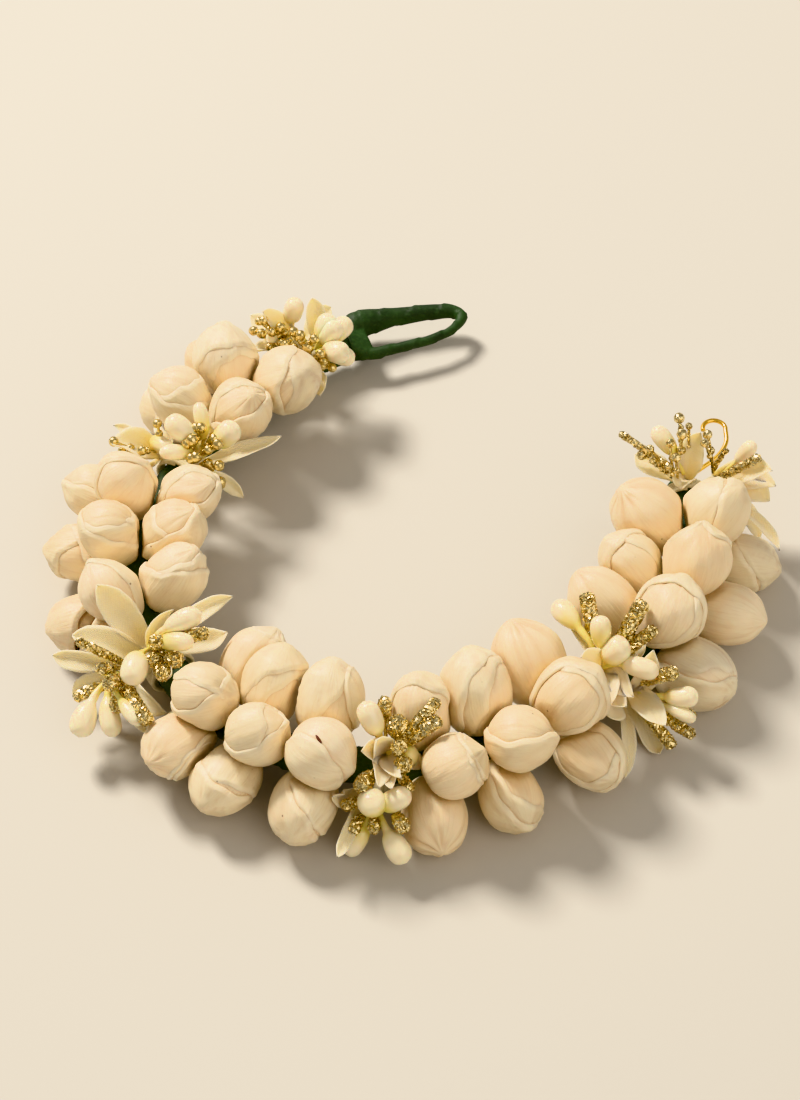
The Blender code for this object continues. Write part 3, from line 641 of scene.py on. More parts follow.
def grain_noise(grain, scale, start):
    """Noise at places in the grain, at one scale round the tip and another down from it."""
    wide, deep = scale
    spots = [Vector((x * wide, y * wide, start + down * deep)) for x, y, down in zip(*grain)]
    return np.array([noise.noise(spot) for spot in spots])


def wrinkles(grain, gather, seed):
    """Depth of the fine folds that run along a petal's grain, and how creased it is."""
    down = grain[2]
    strength = (0.35 + 0.65 * gather * bell(down, GATHER_WIDTH)) * smooth_step(*TIP_SMOOTH, down)
    crease = bell(grain_noise(grain, CREASE_SCALE, -seed), CREASE_WIDTH) * strength
    return RIDGE * grain_noise(grain, RIDGE_SCALE, seed) * strength - CREASE_DEPTH * crease, crease


def shell_frame(shell, wrap):
    """A shell's middle, the way from it to the middle of the picture, and the way across."""
    view, turn = wrap.view, wrap.turn
    middle = view.way(shell.angle + turn, shell.away)
    towards = -view.way(shell.angle + turn, shell.away + 90)
    return middle, towards, np.cross(middle, towards)


def shell_reach(shell, angle, seed):
    """How far a shell reaches, in radians, at angles round its middle from its near side."""
    waves = SHELL_WAVE * (np.sin(2 * angle + seed) + 0.5 * np.sin(3 * angle + 2.3 * seed))
    waves += 0.4 * SHELL_WAVE * np.sin(7 * angle - seed)
    return math.radians(shell.reach) * (1 + waves) + shell.point * bell(angle, POINT_WIDTH)


def shell_lift(shell, depth, angle, share):
    """Lift of a shell's outside: its rim has a lip that is a little proud, then falls."""
    lip = LIP * bell(share - LIP_PLACE, LIP_WIDTH) - RIM_FALL * smooth_step(RIM_START, 1.0, share)
    return depth * (shell.lift + shell.slant * np.sin(angle) * share + lip)


def fold_shade(ways, lift, own, wrap):
    """How deep in the crease beside a higher shell's rim each direction lies, 0 to 1: it sinks the surface
    there and sets the painted shade in that crease.
    """
    shade = np.zeros(len(ways))
    for number, shell in enumerate(wrap.shells):
        if number == own:
            continue
        middle, towards, across = shell_frame(shell, wrap)
        angle = np.arctan2(ways @ across, ways @ towards)
        beyond = angles_from(ways, middle) - shell_reach(shell, angle, wrap.seed + number)
        rise = shell_lift(shell, wrap.depth, angle, np.ones(len(ways))) - lift
        near = np.where(beyond > 0, bell(beyond, FOLD_WIDTH), 1.0)
        shade = np.maximum(shade, smooth_step(*FOLD_RISE, rise) * near)
    return shade


def bud_form(ways, lifts, own, wrap, bud, planes):
    """Points of one layer of a bud, its fold shade, creases, and place in the grain."""
    folds = fold_shade(ways, lifts, own, wrap)
    grain = grain_place(ways, wrap.view)
    folded, creases = wrinkles(grain, wrap.gather, wrap.seed + 3 * own)
    points = bud_surface(ways, lifts - FOLD_DEPTH * wrap.depth * folds + folded, bud, planes, wrap)
    cosine, sine, down = grain
    depths = down * bud.radius * FIBRE_STRETCH + FIBRE_STEP * own
    fibres = np.stack((cosine * bud.radius, sine * bud.radius, depths), axis=1)
    return points, folds, creases, fibres


def shell_form(own, wrap, bud, planes):
    """A petal shell: outside, round its rim, and back along the inside."""
    shell = wrap.shells[own]
    middle, towards, across = shell_frame(shell, wrap)
    angles = np.linspace(-math.pi, math.pi, SHELL_COLUMNS, endpoint=False)
    side = np.outer(np.cos(angles), towards) + np.outer(np.sin(angles), across)
    thick = SHELL_THICK * (0.55 + 0.45 * wrap.depth)
    rings = [(share, 0.0, 0.0) for share in SHELL_RINGS]
    for degrees in RIM_TURNS:
        turn = math.radians(degrees)
        rings.append((1.0, math.sin(turn) * thick / 2, (1 - math.cos(turn)) * thick / 2))
    rings += [(share, 0.0, thick) for share in INSIDE_RINGS]
    ways, lifts, edges = [], [], []
    for share, out, drop in rings:
        away = shell_reach(shell, angles, wrap.seed + own) * share + out / bud.radius
        ways.append(np.cos(away)[:, None] * middle + np.sin(away)[:, None] * side)
        lifts.append(shell_lift(shell, wrap.depth, angles, share * np.ones(SHELL_COLUMNS)) - drop)
        edges.append(np.full(SHELL_COLUMNS, float(smooth_step(EDGE_START, 1.0, share))))
    ways.append(np.array([middle, middle]))
    lifts.append(np.array([shell.lift * wrap.depth, shell.lift * wrap.depth - thick]))
    edges.append(np.zeros(2))
    ways, lifts, edges = np.concatenate(ways), np.concatenate(lifts), np.concatenate(edges)
    points, folds, creases, fibres = bud_form(ways, lifts, own, wrap, bud, planes)
    return points, grid_faces(len(rings), SHELL_COLUMNS), folds, edges, creases, fibres


def core_form(lift, wrap, bud, planes):
    """The round core of a bud, which shows between its shells."""
    falls, columns = CORE_GRID
    ways = np.array(ball_ways(falls, columns))
    points, folds, creases, fibres = bud_form(ways, np.full(len(ways), lift), -1, wrap, bud, planes)
    return points, grid_faces(falls - 1, columns), folds, np.zeros(len(ways)), creases, fibres


def fleck_form(wrap, bud, planes):
    """A small dark sliver of husk that lies on a bud."""
    out = wrap.view.way(*FLECK_PLACE)
    spot = bud_surface(out[None, :], np.array([FLECK_LIFT]), bud, planes, wrap)[0]
    wide = np.cross(out, swing(wrap.view.up, wrap.view.left, FLECK_LEAN))
    axes = np.array((wide, out, np.cross(wide, out))) * np.array(FLECK_SIZE)[:, None]
    falls, columns = FLECK_GRID
    points = spot + np.array(ball_ways(falls, columns)) @ axes
    empty = np.zeros(len(points))
    return points, grid_faces(falls - 1, columns), empty, empty, empty, np.zeros((len(points), 3))


def make_bud(bud, buds, look, draw, material):
    """One bud: its core, the shells of its wrap, and shells that only its far side shows."""
    name, turn, depth = look
    axes = bud_axes(bud)
    planes = press_planes(bud, buds, axes.transposed())
    core_lift, gather, shells = WRAPS[name]
    backs = []
    for lift in BACK_LIFTS:
        angle, away, reach = draw.uniform(0, 360), draw.uniform(*BACK_AWAY), draw.uniform(*BACK_REACH)
        backs.append(Shell(angle, away, reach, lift, BACK_SLANT))
    wrap = Wrap(View(bud, axes), tuple(backs) + shells, turn, depth, gather, draw.uniform(0.0, SEEDS))
    bud_tint = draw.random()
    forms = [core_form(core_lift * depth, wrap, bud, planes)]
    forms += [shell_form(own, wrap, bud, planes) for own in range(len(wrap.shells))]
    tints = [TINT_SHARE * bud_tint + (1 - TINT_SHARE) * draw.random() for _ in forms]
    if bud.name == FLECK_BUD:
        forms.append(fleck_form(wrap, bud, planes))
        tints.append(FLECK_TINT)
    heap = Heap()
    grains = []
    for (points, faces, folds, edges, creases, fibres), tint in zip(forms, tints):
        looks = [(fold, edge, tint, crease) for fold, edge, crease in zip(folds, edges, creases)]
        heap.add([bud.centre + axes @ Vector(point) for point in points], faces, looks)
        grains.append(fibres)
    mesh = heap.mesh(bud.name + "_petals")
    layer = mesh.attributes.new("grain", "FLOAT_VECTOR", "POINT")
    layer.data.foreach_set("vector", np.concatenate(grains).astype(np.float32).ravel())
    add_piece(bud.name + "_petals", mesh, material, "bud_ivory", bud.name)


# Flower sprays

def bud_walls(buds, station):
    """Balls that stand for the buds near a spray, a little long in their own axis."""
    here = around(station, 0).origin
    near = [bud for bud in buds if (bud.centre - here).length < NEAR_BUDS]
    return [Wall(bud.centre, bud.axis, bud.radius + BUD_MARGIN, BUD_LENGTH_TIP) for bud in near]


def clear_of(point, size, walls, place):
    """Push a point out of every wall, off the stem and up from the surface."""
    for wall in walls:
        offset = point - wall.centre
        offset -= wall.axis * offset.dot(wall.axis) * (1 - 1 / wall.stretch)
        need = wall.radius + size
        if offset.length < need:
            offset *= need / offset.length
            offset += wall.axis * offset.dot(wall.axis) * (wall.stretch - 1)
            point = wall.centre + offset
    radial = point - place.origin
    station = place.along * radial.dot(place.along)
    radial -= station
    need = STEM_RADIUS + GAP + size
    if radial.length < need:
        point = place.origin + station + radial * (need / radial.length)
    point.z = max(point.z, size + GAP)
    return point


def bent_clear(points, sizes, walls, place, fixed):
    """Bend a midline clear of the walls, keeping its first points where they are."""
    for _ in range(CLEAR_PASSES):
        moved = [clear_of(point, size, walls, place) for point, size in zip(points, sizes)]
        points = list(points[:fixed]) + moved[fixed:]
    return points


def beside(items, k):
    """The items before and after one in a row; an end of the row is beside itself."""
    return items[max(k - 1, 0)], items[min(k + 1, len(items) - 1)]


def along_line(points, count):
    """Points of a smooth curve through a few knots, evenly spread by knot."""
    knots = [points[0] * 2 - points[1]] + list(points) + [points[-1] * 2 - points[-2]]
    spans = len(points) - 1
    smooth = []
    for k in range(count):
        reach = k / (count - 1) * spans
        span = min(int(reach), spans - 1)
        t = reach - span
        a, b, c, d = knots[span:span + 4]
        square = (a * 2 - b * 5 + c * 4 - d) * t ** 2
        cube = (b * 3 - a - c * 3 + d) * t ** 3
        smooth.append((b * 2 + (c - a) * t + square + cube) / 2)
    return smooth


def tube_form(points, radius, sides, look_at=None, jitter=None):
    """A closed tube along a line. Its radius is a number, or read from the share of the
    length and the angle, and its look is read from the share of the length."""
    spots, looks = [], []
    side = None
    count = len(points)
    for number, point in enumerate(points):
        before, after = beside(points, number)
        ahead = (after - before).normalized()
        if side is None:
            side = ahead.orthogonal().normalized()
        side = (side - ahead * side.dot(ahead)).normalized()
        other = ahead.cross(side)
        share = number / (count - 1)
        for k in range(sides):
            angle = math.tau * (k + 0.5 * (number % 2)) / sides if jitter else math.tau * k / sides
            out = radius(share, angle) if callable(radius) else radius
            spot = point + (side * math.cos(angle) + other * math.sin(angle)) * out
            if jitter:
                spot += jitter()
            spots.append(spot)
            looks.append(look_at(share) if look_at else NO_LOOK)
    spots += [points[0].copy(), points[-1].copy()]
    looks += [look_at(0.0), look_at(1.0)] if look_at else [NO_LOOK, NO_LOOK]
    return spots, grid_faces(count, sides), looks


def smooth_tube(knots, grid, radius, look_at=None):
    """A closed tube along the smooth curve through a few knots, with rings and sides."""
    rings, sides = grid
    return tube_form(along_line(knots, rings), radius, sides, look_at)


def ring_centre(bunch, place):
    return place.origin + place.outward * (bunch.head - RING_DROP)


def head_and_tip(bunch, place, tip):
    """The head of a bunch, and the tip of an item that stands in it."""
    azimuth, spread, reach = tip
    head = place.origin + place.outward * bunch.head
    return head, head + direction(place, azimuth, spread) * reach


def root_azimuth(azimuth, towards):
    gap = (azimuth - towards + 180) % 360 - 180
    if abs(gap) >= ROOT_CLEARANCE:
        return azimuth
    return towards + math.copysign(ROOT_CLEARANCE, gap)


def petal_midline(bunch, place, tip, towards):
    """A midline from a bunch's side, kept off the way towards the other bunch, to a tip."""
    azimuth, _, reach = tip
    _, end = head_and_tip(bunch, place, tip)
    start = place.origin + place.outward * max(bunch.head - PETAL_DROP, PETAL_LOWEST)
    root = start + direction(place, azimuth, 90) * ROOT_SHIFT
    shoulder = start + direction(place, root_azimuth(azimuth, towards), SHOULDER_SPREAD) * PETAL_SHOULDER
    control = (shoulder + end) / 2 + place.outward * (reach * PETAL_ARCH)
    return [root, shoulder] + [bezier(shoulder, control, end, t) for t in PETAL_STATIONS] + [end]


def rising_line(place, tip, rise, root, base, end):
    """A midline from a root to an end, bent towards a control point set out from a base."""
    azimuth, spread, reach = tip
    control = base + direction(place, azimuth, spread * rise.spread) * (reach * rise.reach)
    return [bezier(root, control, end, t) for t in rise.stations]


def leaf_midline(bunch, place, tip):
    head, end = head_and_tip(bunch, place, tip)
    return rising_line(place, tip, LEAF_RISE, head - place.outward * LEAF_DROP, head, end)


def pip_midline(bunch, place, tip):
    head, end = head_and_tip(bunch, place, tip)
    root = head - place.outward * PIP_DROP + direction(place, tip[0], 90) * ROOT_SHIFT
    return rising_line(place, tip, PIP_RISE, root, head, end)


def gold_midline(bunch, place, tip):
    _, end = head_and_tip(bunch, place, tip)
    root = ring_centre(bunch, place) + direction(place, tip[0], RING_SPREAD) * RING_MIDDLE
    return rising_line(place, tip, GOLD_RISE, root, root, end)


def settled(rows, walls, place):
    """Ease a sheet of points out of the walls, so that it bends more than it creases."""
    last_row, last = len(rows) - 1, len(rows[0]) - 1
    for _ in range(SHEET_PASSES):
        moves = [[clear_of(point.copy(), SHEET_CLEARANCE, walls, place) - point for point in row]
                 for row in rows]
        for r in range(PETAL_FIXED, last_row + 1):
            for k in range(last + 1):
                near = [moves[i][j] for i in range(max(r - 1, 0), min(r + 1, last_row) + 1)
                        for j in range(max(k - 1, 0), min(k + 1, last) + 1)]
                rows[r][k] += sum(near, Vector()) * (SHEET_PUSH / len(near))
    for row in rows[PETAL_FIXED:]:
        row[:] = [clear_of(point, SHEET_LAST_CLEARANCE, walls, place) for point in row]
    return rows


def petal_rows(line, place, wide, widths, towards_camera, draw):
    """A cupped sheet along a line, with a ruffled edge and a tip that twists and curls back."""
    widths_at, widths = zip(*widths)
    facing = (place.outward + TO_CAMERA * towards_camera).normalized()
    curl = PETAL_CURL * draw.uniform(0.3, 1.0)
    sway = draw.uniform(-PETAL_SWAY, PETAL_SWAY)
    twist = math.radians(draw.uniform(-1, 1) * (TWIST[0] + TWIST[1] * max(0.0, TWIST_WIDTH - wide)))
    phase = draw.uniform(0.0, math.tau)
    rows, looks = [], []
    last_side = None
    for number, point in enumerate(line):
        share = number / (PETAL_RINGS - 1)
        before, after = beside(line, number)
        ahead = (after - before).normalized()
        side = ahead.cross(facing).normalized()
        if last_side is not None and side.dot(last_side) < 0.5:
            side = (last_side - ahead * last_side.dot(ahead)).normalized()
        last_side = side
        side = Matrix.Rotation(twist * max(0.0, share - TWIST_START) / (1 - TWIST_START), 3, ahead) @ side
        face = side.cross(ahead)
        bend = max(0.0, (share - BEND_START) / (1 - BEND_START)) ** 2
        middle = point + face * (bend * curl) + side * (bend * sway)
        half = float(np.interp(share, widths_at, widths)) * wide
        row = []
        for k in range(PETAL_COLUMNS):
            u = 2 * k / (PETAL_COLUMNS - 1) - 1
            ruffle = PETAL_RUFFLE * abs(u) ** 3 * math.sin(phase + 9 * share + 2 * u) * min(1.0, half / 2)
            rise = PETAL_CUP * u * u * half + PETAL_RIM * abs(u) ** 0.5 + ruffle
            row.append(middle + side * (half * u) + face * rise)
            looks.append((half * u, share * WEAVE_LENGTH, draw.random() * 0.1, share))
        rows.append(row)
    return rows, looks


def petal_form(points, place, walls, wide, widths, towards_camera, draw):
    """A thin petal: its sheet, eased off what is near, and closed round with two faces."""
    line = along_line(points, PETAL_RINGS)
    rows, looks = petal_rows(line, place, wide, widths, towards_camera, draw)
    rows = settled(rows, walls, place)
    tops, bottoms = [], []
    for r, row in enumerate(rows):
        low, high = beside(rows, r)
        for k, spot in enumerate(row):
            left, right = beside(row, k)
            face = (right - left).cross(high[k] - low[k]).normalized()
            u = 2 * k / (PETAL_COLUMNS - 1) - 1
            thin = PETAL_THICK / 2 * (1 - 0.6 * abs(u) ** 4)
            tops.append(spot + face * thin)
            bottoms.append(spot - face * thin)
    faces = []
    columns, size = PETAL_COLUMNS, PETAL_RINGS * PETAL_COLUMNS
    for ring in range(PETAL_RINGS - 1):
        for k in range(columns - 1):
            a = ring * columns + k
            faces.append((a, a + 1, a + columns + 1, a + columns))
            faces.append((size + a, size + a + columns, size + a + columns + 1, size + a + 1))
        high = (ring + 1) * columns
        for a, b in ((high - columns, high), (high + columns - 1, high - 1)):
            faces.append((a, b, size + b, size + a))
    for k in range(columns - 1):
        for base, (a, b) in ((0, (k + 1, k)), (size - columns, (k, k + 1))):
            faces.append((base + a, base + b, size + base + b, size + base + a))
    return tops + bottoms, faces, looks + looks


def pip_radius(share, length, size):
    """A slim neck that widens into a bulb with a round end."""
    bulb = min(PIP_BULB / length, 0.8)
    t = (share - 1 + bulb) / bulb
    if t <= 0.0:
        return PIP_STALK + (PIP_NECK * size - PIP_STALK) * (share / (1 - bulb)) ** 2
    return max(PIP_NECK * size * (1 - t), size * math.sqrt(max(0.0, 1 - abs(2 * t ** 1.2 - 1) ** 2.3)))


def stick_form(points, draw, size):
    """A gold stick crusted with grains: every grain is a facet of its rough skin."""
    length = sum((b - a).length for a, b in zip(points, points[1:]))
    line = along_line(points, max(LEAST_GRAINS, round(length / GRAIN)))
    sides = max(LEAST_GRAINS, round(math.tau * size / GRAIN))

    def radius_at(share, _):
        body = size * (0.45 + 0.55 * math.sin(math.pi * min(share * 0.75 + 0.12, 0.5)))
        end = min(1.0, (1 - share) * length / size)
        return body * math.sqrt(max(0.12, end * (2 - end)))

    def jitter():
        return Vector([draw.uniform(-1, 1) for _ in range(3)]) * GRAIN_JITTER

    return tube_form(line, radius_at, sides, lambda share: (draw.random(), share, 0.0, 1.0), jitter)


def bead_form(centre, radius, draw):
    """A small gold bead, a little out of round."""
    start = Vector((draw.uniform(0.0, BEAD_SEEDS), 0, 0))
    falls, columns = BEAD_GRID
    ways = [Vector(way) for way in ball_ways(falls, columns)]
    swells = [1 + BEAD_LUMPS * noise.noise(way * BEAD_LUMP_SCALE + start) for way in ways[:-2]] + [1.0, 1.0]
    points = [centre + way * radius * swell for way, swell in zip(ways, swells)]
    return points, grid_faces(falls - 1, columns), [(0.5, 0.0, 1.0, 1.0)] * len(points)


class Spray:
    """The petals, pips, gold and thread of one spray, each gathered in a heap of its own."""

    def __init__(self, bunches, buds, draw):
        self.draw = draw
        self.walls = bud_walls(buds, bunches[0].station)
        self.stands = [(bunch, around(bunch.station, bunch.roll)) for bunch in bunches]
        self.petals, self.pips, self.gold, self.thread = Heap(), Heap(), Heap(), Heap()

    def walls_with_ring(self, order):
        """The walls, and a ball that stands for the gold bound round the other bunch."""
        return self.walls + [Wall(ring_centre(*self.stands[1 - order]), UP, RING_MIDDLE + RING_MARGIN, 1.0)]

    def add_petal(self, order, tip, size):
        """A petal that bends out from the side of its bunch."""
        bunch, place = self.stands[order]
        towards = -90 if bunch.roll > self.stands[1 - order][0].roll else 90
        points = petal_midline(bunch, place, tip, towards)
        points = bent_clear(points, [PETAL_ROOM] * len(points), self.walls_with_ring(order), place, 2)
        self.petals.add(*petal_form(points, place, self.walls, size, PETAL_WIDTHS, PETAL_FACING, self.draw))

    def add_leaf(self, order, tip, size):
        """A petal that rises from the head of its bunch."""
        bunch, place = self.stands[order]
        points = leaf_midline(bunch, place, tip)
        points = bent_clear(points, [LEAF_ROOM] * len(points), self.walls, place, 1)
        self.petals.add(*petal_form(points, place, self.walls, size, LEAF_WIDTHS, LEAF_FACING, self.draw))

    def add_pip(self, order, tip, size):
        bunch, place = self.stands[order]
        points = pip_midline(bunch, place, tip)
        points = bent_clear(points, PIP_ROOMS, self.walls_with_ring(order), place, 1)
        size *= self.draw.uniform(*PIP_VARIETY)
        length = (points[-1] - points[0]).length
        ripe = self.draw.uniform(*PIP_RIPE)
        self.pips.add(*smooth_tube(points, PIP_GRID, lambda share, _: pip_radius(share, length, size),
                                   lambda share: (share, ripe, 0.0, 1.0)))

    def gold_line(self, order, tip, sizes):
        bunch, place = self.stands[order]
        rooms = [size + GOLD_ROOM for size in sizes]
        return bent_clear(gold_midline(bunch, place, tip), rooms, self.walls, place, 1)

    def add_gold(self, order, tip, size):
        """A long stick of gold grains."""
        points = self.gold_line(order, tip, [size * share for share in GOLD_SIZES])
        self.gold.add(*stick_form(points, self.draw, size * self.draw.uniform(*GOLD_VARIETY)))

    def add_bead(self, order, tip, size):
        """Two gold beads on a fine stalk."""
        points = self.gold_line(order, tip, BEAD_SIZES)
        self.gold.add(*smooth_tube(points, WIRE_GRID, BEAD_WIRE, lambda share: (0.5, share, 1.0, 1.0)))
        self.gold.add(*bead_form(points[-1], size * self.draw.uniform(*BEAD_VARIETY), self.draw))
        lower = points[2].lerp(points[1], 0.5)
        self.gold.add(*bead_form(lower, size * self.draw.uniform(*LOWER_BEAD), self.draw))

    def add_lump(self, order, tip, size):
        """A short fat gold bud on a thin stalk."""
        bunch, place = self.stands[order]
        points = gold_midline(bunch, place, tip)
        end = clear_of(points[-1], size, self.walls, place)
        start = end - (end - points[0]).normalized() * LUMP_LENGTH
        body = [start, start.lerp(end, 0.35), start.lerp(end, 0.7), end]
        self.gold.add(*stick_form(body, self.draw, size))
        stalk = [points[0], points[0].lerp(start, 0.5), start.lerp(end, 0.2)]
        self.gold.add(*smooth_tube(stalk, WIRE_GRID, LUMP_WIRE, lambda share: (0.3, share, 0.0, 1.0)))

    def add_binding(self):
        """Each bunch's bound stalk, and the thread that ties the spray to the stem."""
        for bunch, place in self.stands:
            foot = place.origin + place.outward * STALK_FOOT
            top = place.origin + place.outward * (bunch.head - STALK_DROP)
            self.thread.add(*smooth_tube([foot, foot.lerp(top, 0.5), top], STALK_GRID, STALK_RADIUS))
        coil = []
        for k in range(COIL_TURNS * COIL_STEPS + 1):
            turns = k / COIL_STEPS
            station = self.stands[0][0].station + COIL_WIDTH * (turns / COIL_TURNS - 0.5)
            place = around(station, 360 * turns)
            coil.append(place.origin + place.outward * COIL_RADIUS)
        self.thread.add(*tube_form(coil, THREAD_RADIUS, COIL_SIDES))


def make_spray(number, bunches, runs, buds, draw, materials):
    """One spray: its woven petals, its pips, its gold, and the thread that binds it."""
    spray = Spray(bunches, buds, draw)
    adders = {
        "petal": spray.add_petal,
        "leaf": spray.add_leaf,
        "pip": spray.add_pip,
        "gold": spray.add_gold,
        "bead": spray.add_bead,
        "lump": spray.add_lump,
    }
    for kind, order, items in runs:
        for *tip, size in items:
            adders[kind](order, tip, size)
    spray.add_binding()
    name = f"spray_{number}"
    petals = spray.petals.mesh(name + "_petals")
    add_piece(name + "_petals", petals, materials["petal"], "petal_white", f"flowers_{number}")
    add_piece(name + "_pips", spray.pips.mesh(name + "_pips"), materials["pip"], "petal_white")
    add_piece(name + "_thread", spray.thread.mesh(name + "_thread"), materials["thread"], "petal_white")
    beaded = number <= BEADED_SPRAYS
    gold = spray.gold.mesh(name + "_gold", smooth=beaded)
    look = materials["bead" if beaded else "glitter"]
    add_piece(name + "_gold", gold, look, "stamen_gold", f"stamens_{number}")


# Stem, loop and hook

def tape_radius(radius, station, angle):
    """Radius of a tube wound with tape whose laps climb round it."""
    lap = (station / TAPE_PITCH + angle / math.tau) % 1.0
    return radius - TAPE_LAP + TAPE_LAP * (1 - lap) + (TAPE_EDGE if lap < TAPE_EDGE_SHARE else 0.0)


def make_stem(material):
    count = round(STEM_END / STEM_STEP)
    points = [around(STEM_END * k / count, 0).origin for k in range(count + 1)]

    def radius_at(share, angle):
        return tape_radius(STEM_RADIUS, share * STEM_END, angle)

    form = tube_form(points, radius_at, STEM_SIDES)
    add_piece("stem_tape", Heap(form).mesh("stem_tape"), material, "tape_green", "stem")


def web_scale(reach):
    for (low, wide, thick), (high, wide_next, thick_next) in zip(LOOP_WEB, LOOP_WEB[1:]):
        t = min(max((reach - low) / (high - low), 0.0), 1.0)
        if reach <= high:
            break
    return wide + (wide_next - wide) * t, thick + (thick_next - thick) * t


def make_loop(material):
    """The taped loop: two strands that melt into a flat web, remeshed into one skin."""
    turn = math.radians(LOOP_TURN)
    out = Vector((math.cos(turn), math.sin(turn), 0.0))
    side = Vector((-out.y, out.x, 0.0))
    start = Vector((*STEM_START, STEM_HEIGHT)) + out * LOOP_START
    points = [start + out * reach + side * offset for reach, offset, _ in LOOP_STRANDS]
    radii = [radius for _, _, radius in LOOP_STRANDS]
    shares = [k / (len(radii) - 1) for k in range(len(radii))]

    def radius_at(share, angle):
        return tape_radius(float(np.interp(share, shares, radii)), share * LOOP_LENGTH, angle)

    heap = Heap(smooth_tube(points, LOOP_GRID, radius_at))
    rings, sides = LOOP_WEB_GRID
    web = [start + out * (LOOP_WEB_STEP * k) for k in range(rings)]
    points, faces, looks = tube_form(web, LOOP_WEB_RADIUS, sides)
    shaped = []
    for point in points:
        offset = point - start
        reach = offset.dot(out)
        wide, thick = web_scale(reach)
        rise = Vector((0, 0, offset.z * thick))
        shaped.append(start + out * reach + side * (offset.dot(side) * wide) + rise)
    heap.add(shaped, faces, looks)
    piece = add_piece("loop_tape", heap.mesh("loop_tape"), material, "tape_green", "end_loop")
    fuse = piece.modifiers.new("fuse", "REMESH")
    fuse.mode = "VOXEL"
    fuse.voxel_size = LOOP_VOXEL * MM
    fuse.use_smooth_shade = True
    soften = piece.modifiers.new("soften", "SMOOTH")
    soften.factor = 0.5
    soften.iterations = 2


def make_hook(material):
    x, y, _ = stem_point(STEM_END)
    start = Vector((x, y + GAP, STEM_HEIGHT))
    points = [start + Vector(offset) for offset in HOOK_SHANK]
    middle = start + Vector(HOOK_CENTRE)
    first, last = HOOK_ARC
    for k in range(HOOK_STEPS + 1):
        angle = math.radians(first + (last - first) * k / HOOK_STEPS)
        points.append(middle + Vector((math.cos(angle), math.sin(angle), 0.0)) * HOOK_RADIUS)
    form = smooth_tube(points, HOOK_GRID, HOOK_WIRE)
    add_piece("hook_wire", Heap(form).mesh("hook_wire"), material, "hook_brass", "hook")


# Materials

class Look:
    """A Principled material with its own sockets set, and ways to add and join its nodes."""

    def __init__(self, name, **values):
        self.material = bpy.data.materials.new(name)
        self.material.use_nodes = True
        self.nodes = self.material.node_tree.nodes
        self.links = self.material.node_tree.links
        self.shader = self.nodes["Principled BSDF"]
        for socket, value in values.items():
            self.shader.inputs[socket.replace("_", " ")].default_value = value

    def put(self, value, socket):
        """Link an output to a socket, or set the socket to a plain value."""
        if isinstance(value, bpy.types.NodeSocket):
            self.links.new(value, socket)
        else:
            socket.default_value = value

    def node(self, kind, **inputs):
        """A new shader node with some of its inputs linked or set."""
        node = self.nodes.new("ShaderNode" + kind)
        for name, value in inputs.items():
            self.put(value, node.inputs[name.replace("_", " ")])
        return node

    def place(self):
        return self.nodes.new("ShaderNodeTexCoord").outputs["Object"]

    def noise(self, where, scale, detail, roughness=0.5):
        node = self.node("TexNoise", Vector=where, Scale=scale, Detail=detail, Roughness=roughness)
        return node.outputs["Fac"]

    def cells(self, where, scale):
        """A random number for each cell, and the distance from the middle of the cell."""
        node = self.node("TexVoronoi", Vector=where, Scale=scale)
        return self.node("SeparateColor", Color=node.outputs["Color"]).outputs[0], node.outputs["Distance"]

    def math(self, operation, *values):
        node = self.nodes.new("ShaderNodeMath")
        node.operation = operation
        for socket, value in zip(node.inputs, values):
            self.put(value, socket)
        return node.outputs[0]

    def times(self, first, second):
        return self.math("MULTIPLY", first, second)

    def mix(self, share, first, second):
        """Mix two colours by a share; each of the three is a value or a socket."""
        node = self.nodes.new("ShaderNodeMix")
        node.data_type = "RGBA"
        for index, value in zip((0, 6, 7), (share, first, second)):
            self.put(value, node.inputs[index])
        return node.outputs[2]

    def ramp(self, source, low, high):
        """Map a value's range low to high onto 0 to 1, clamped."""
        return self.node("MapRange", Value=source, From_Min=low, From_Max=high).outputs["Result"]

    def attribute(self, name):
        node = self.nodes.new("ShaderNodeAttribute")
        node.attribute_name = name
        return node.outputs

    def looks(self):
        """The looks attribute's three colour channels and its alpha."""
        outputs = self.attribute("looks")
        channels = self.node("SeparateColor", Color=outputs["Color"]).outputs
        return channels[0], channels[1], channels[2], outputs["Alpha"]

    def bump(self, height, distance, strength, below=None):
        """A bump that rises by a distance in millimetres, over another where one is given."""
        node = self.node("Bump", Height=height, Distance=distance * MM, Strength=strength)
        if below is not None:
            self.links.new(below, node.inputs["Normal"])
        return node.outputs["Normal"]

    def done(self, colour, normal=None):
        """Join the colour and the bump to the material, and return it."""
        self.links.new(colour, self.shader.inputs["Base Color"])
        if normal is not None:
            self.links.new(normal, self.shader.inputs["Normal"])
        return self.material


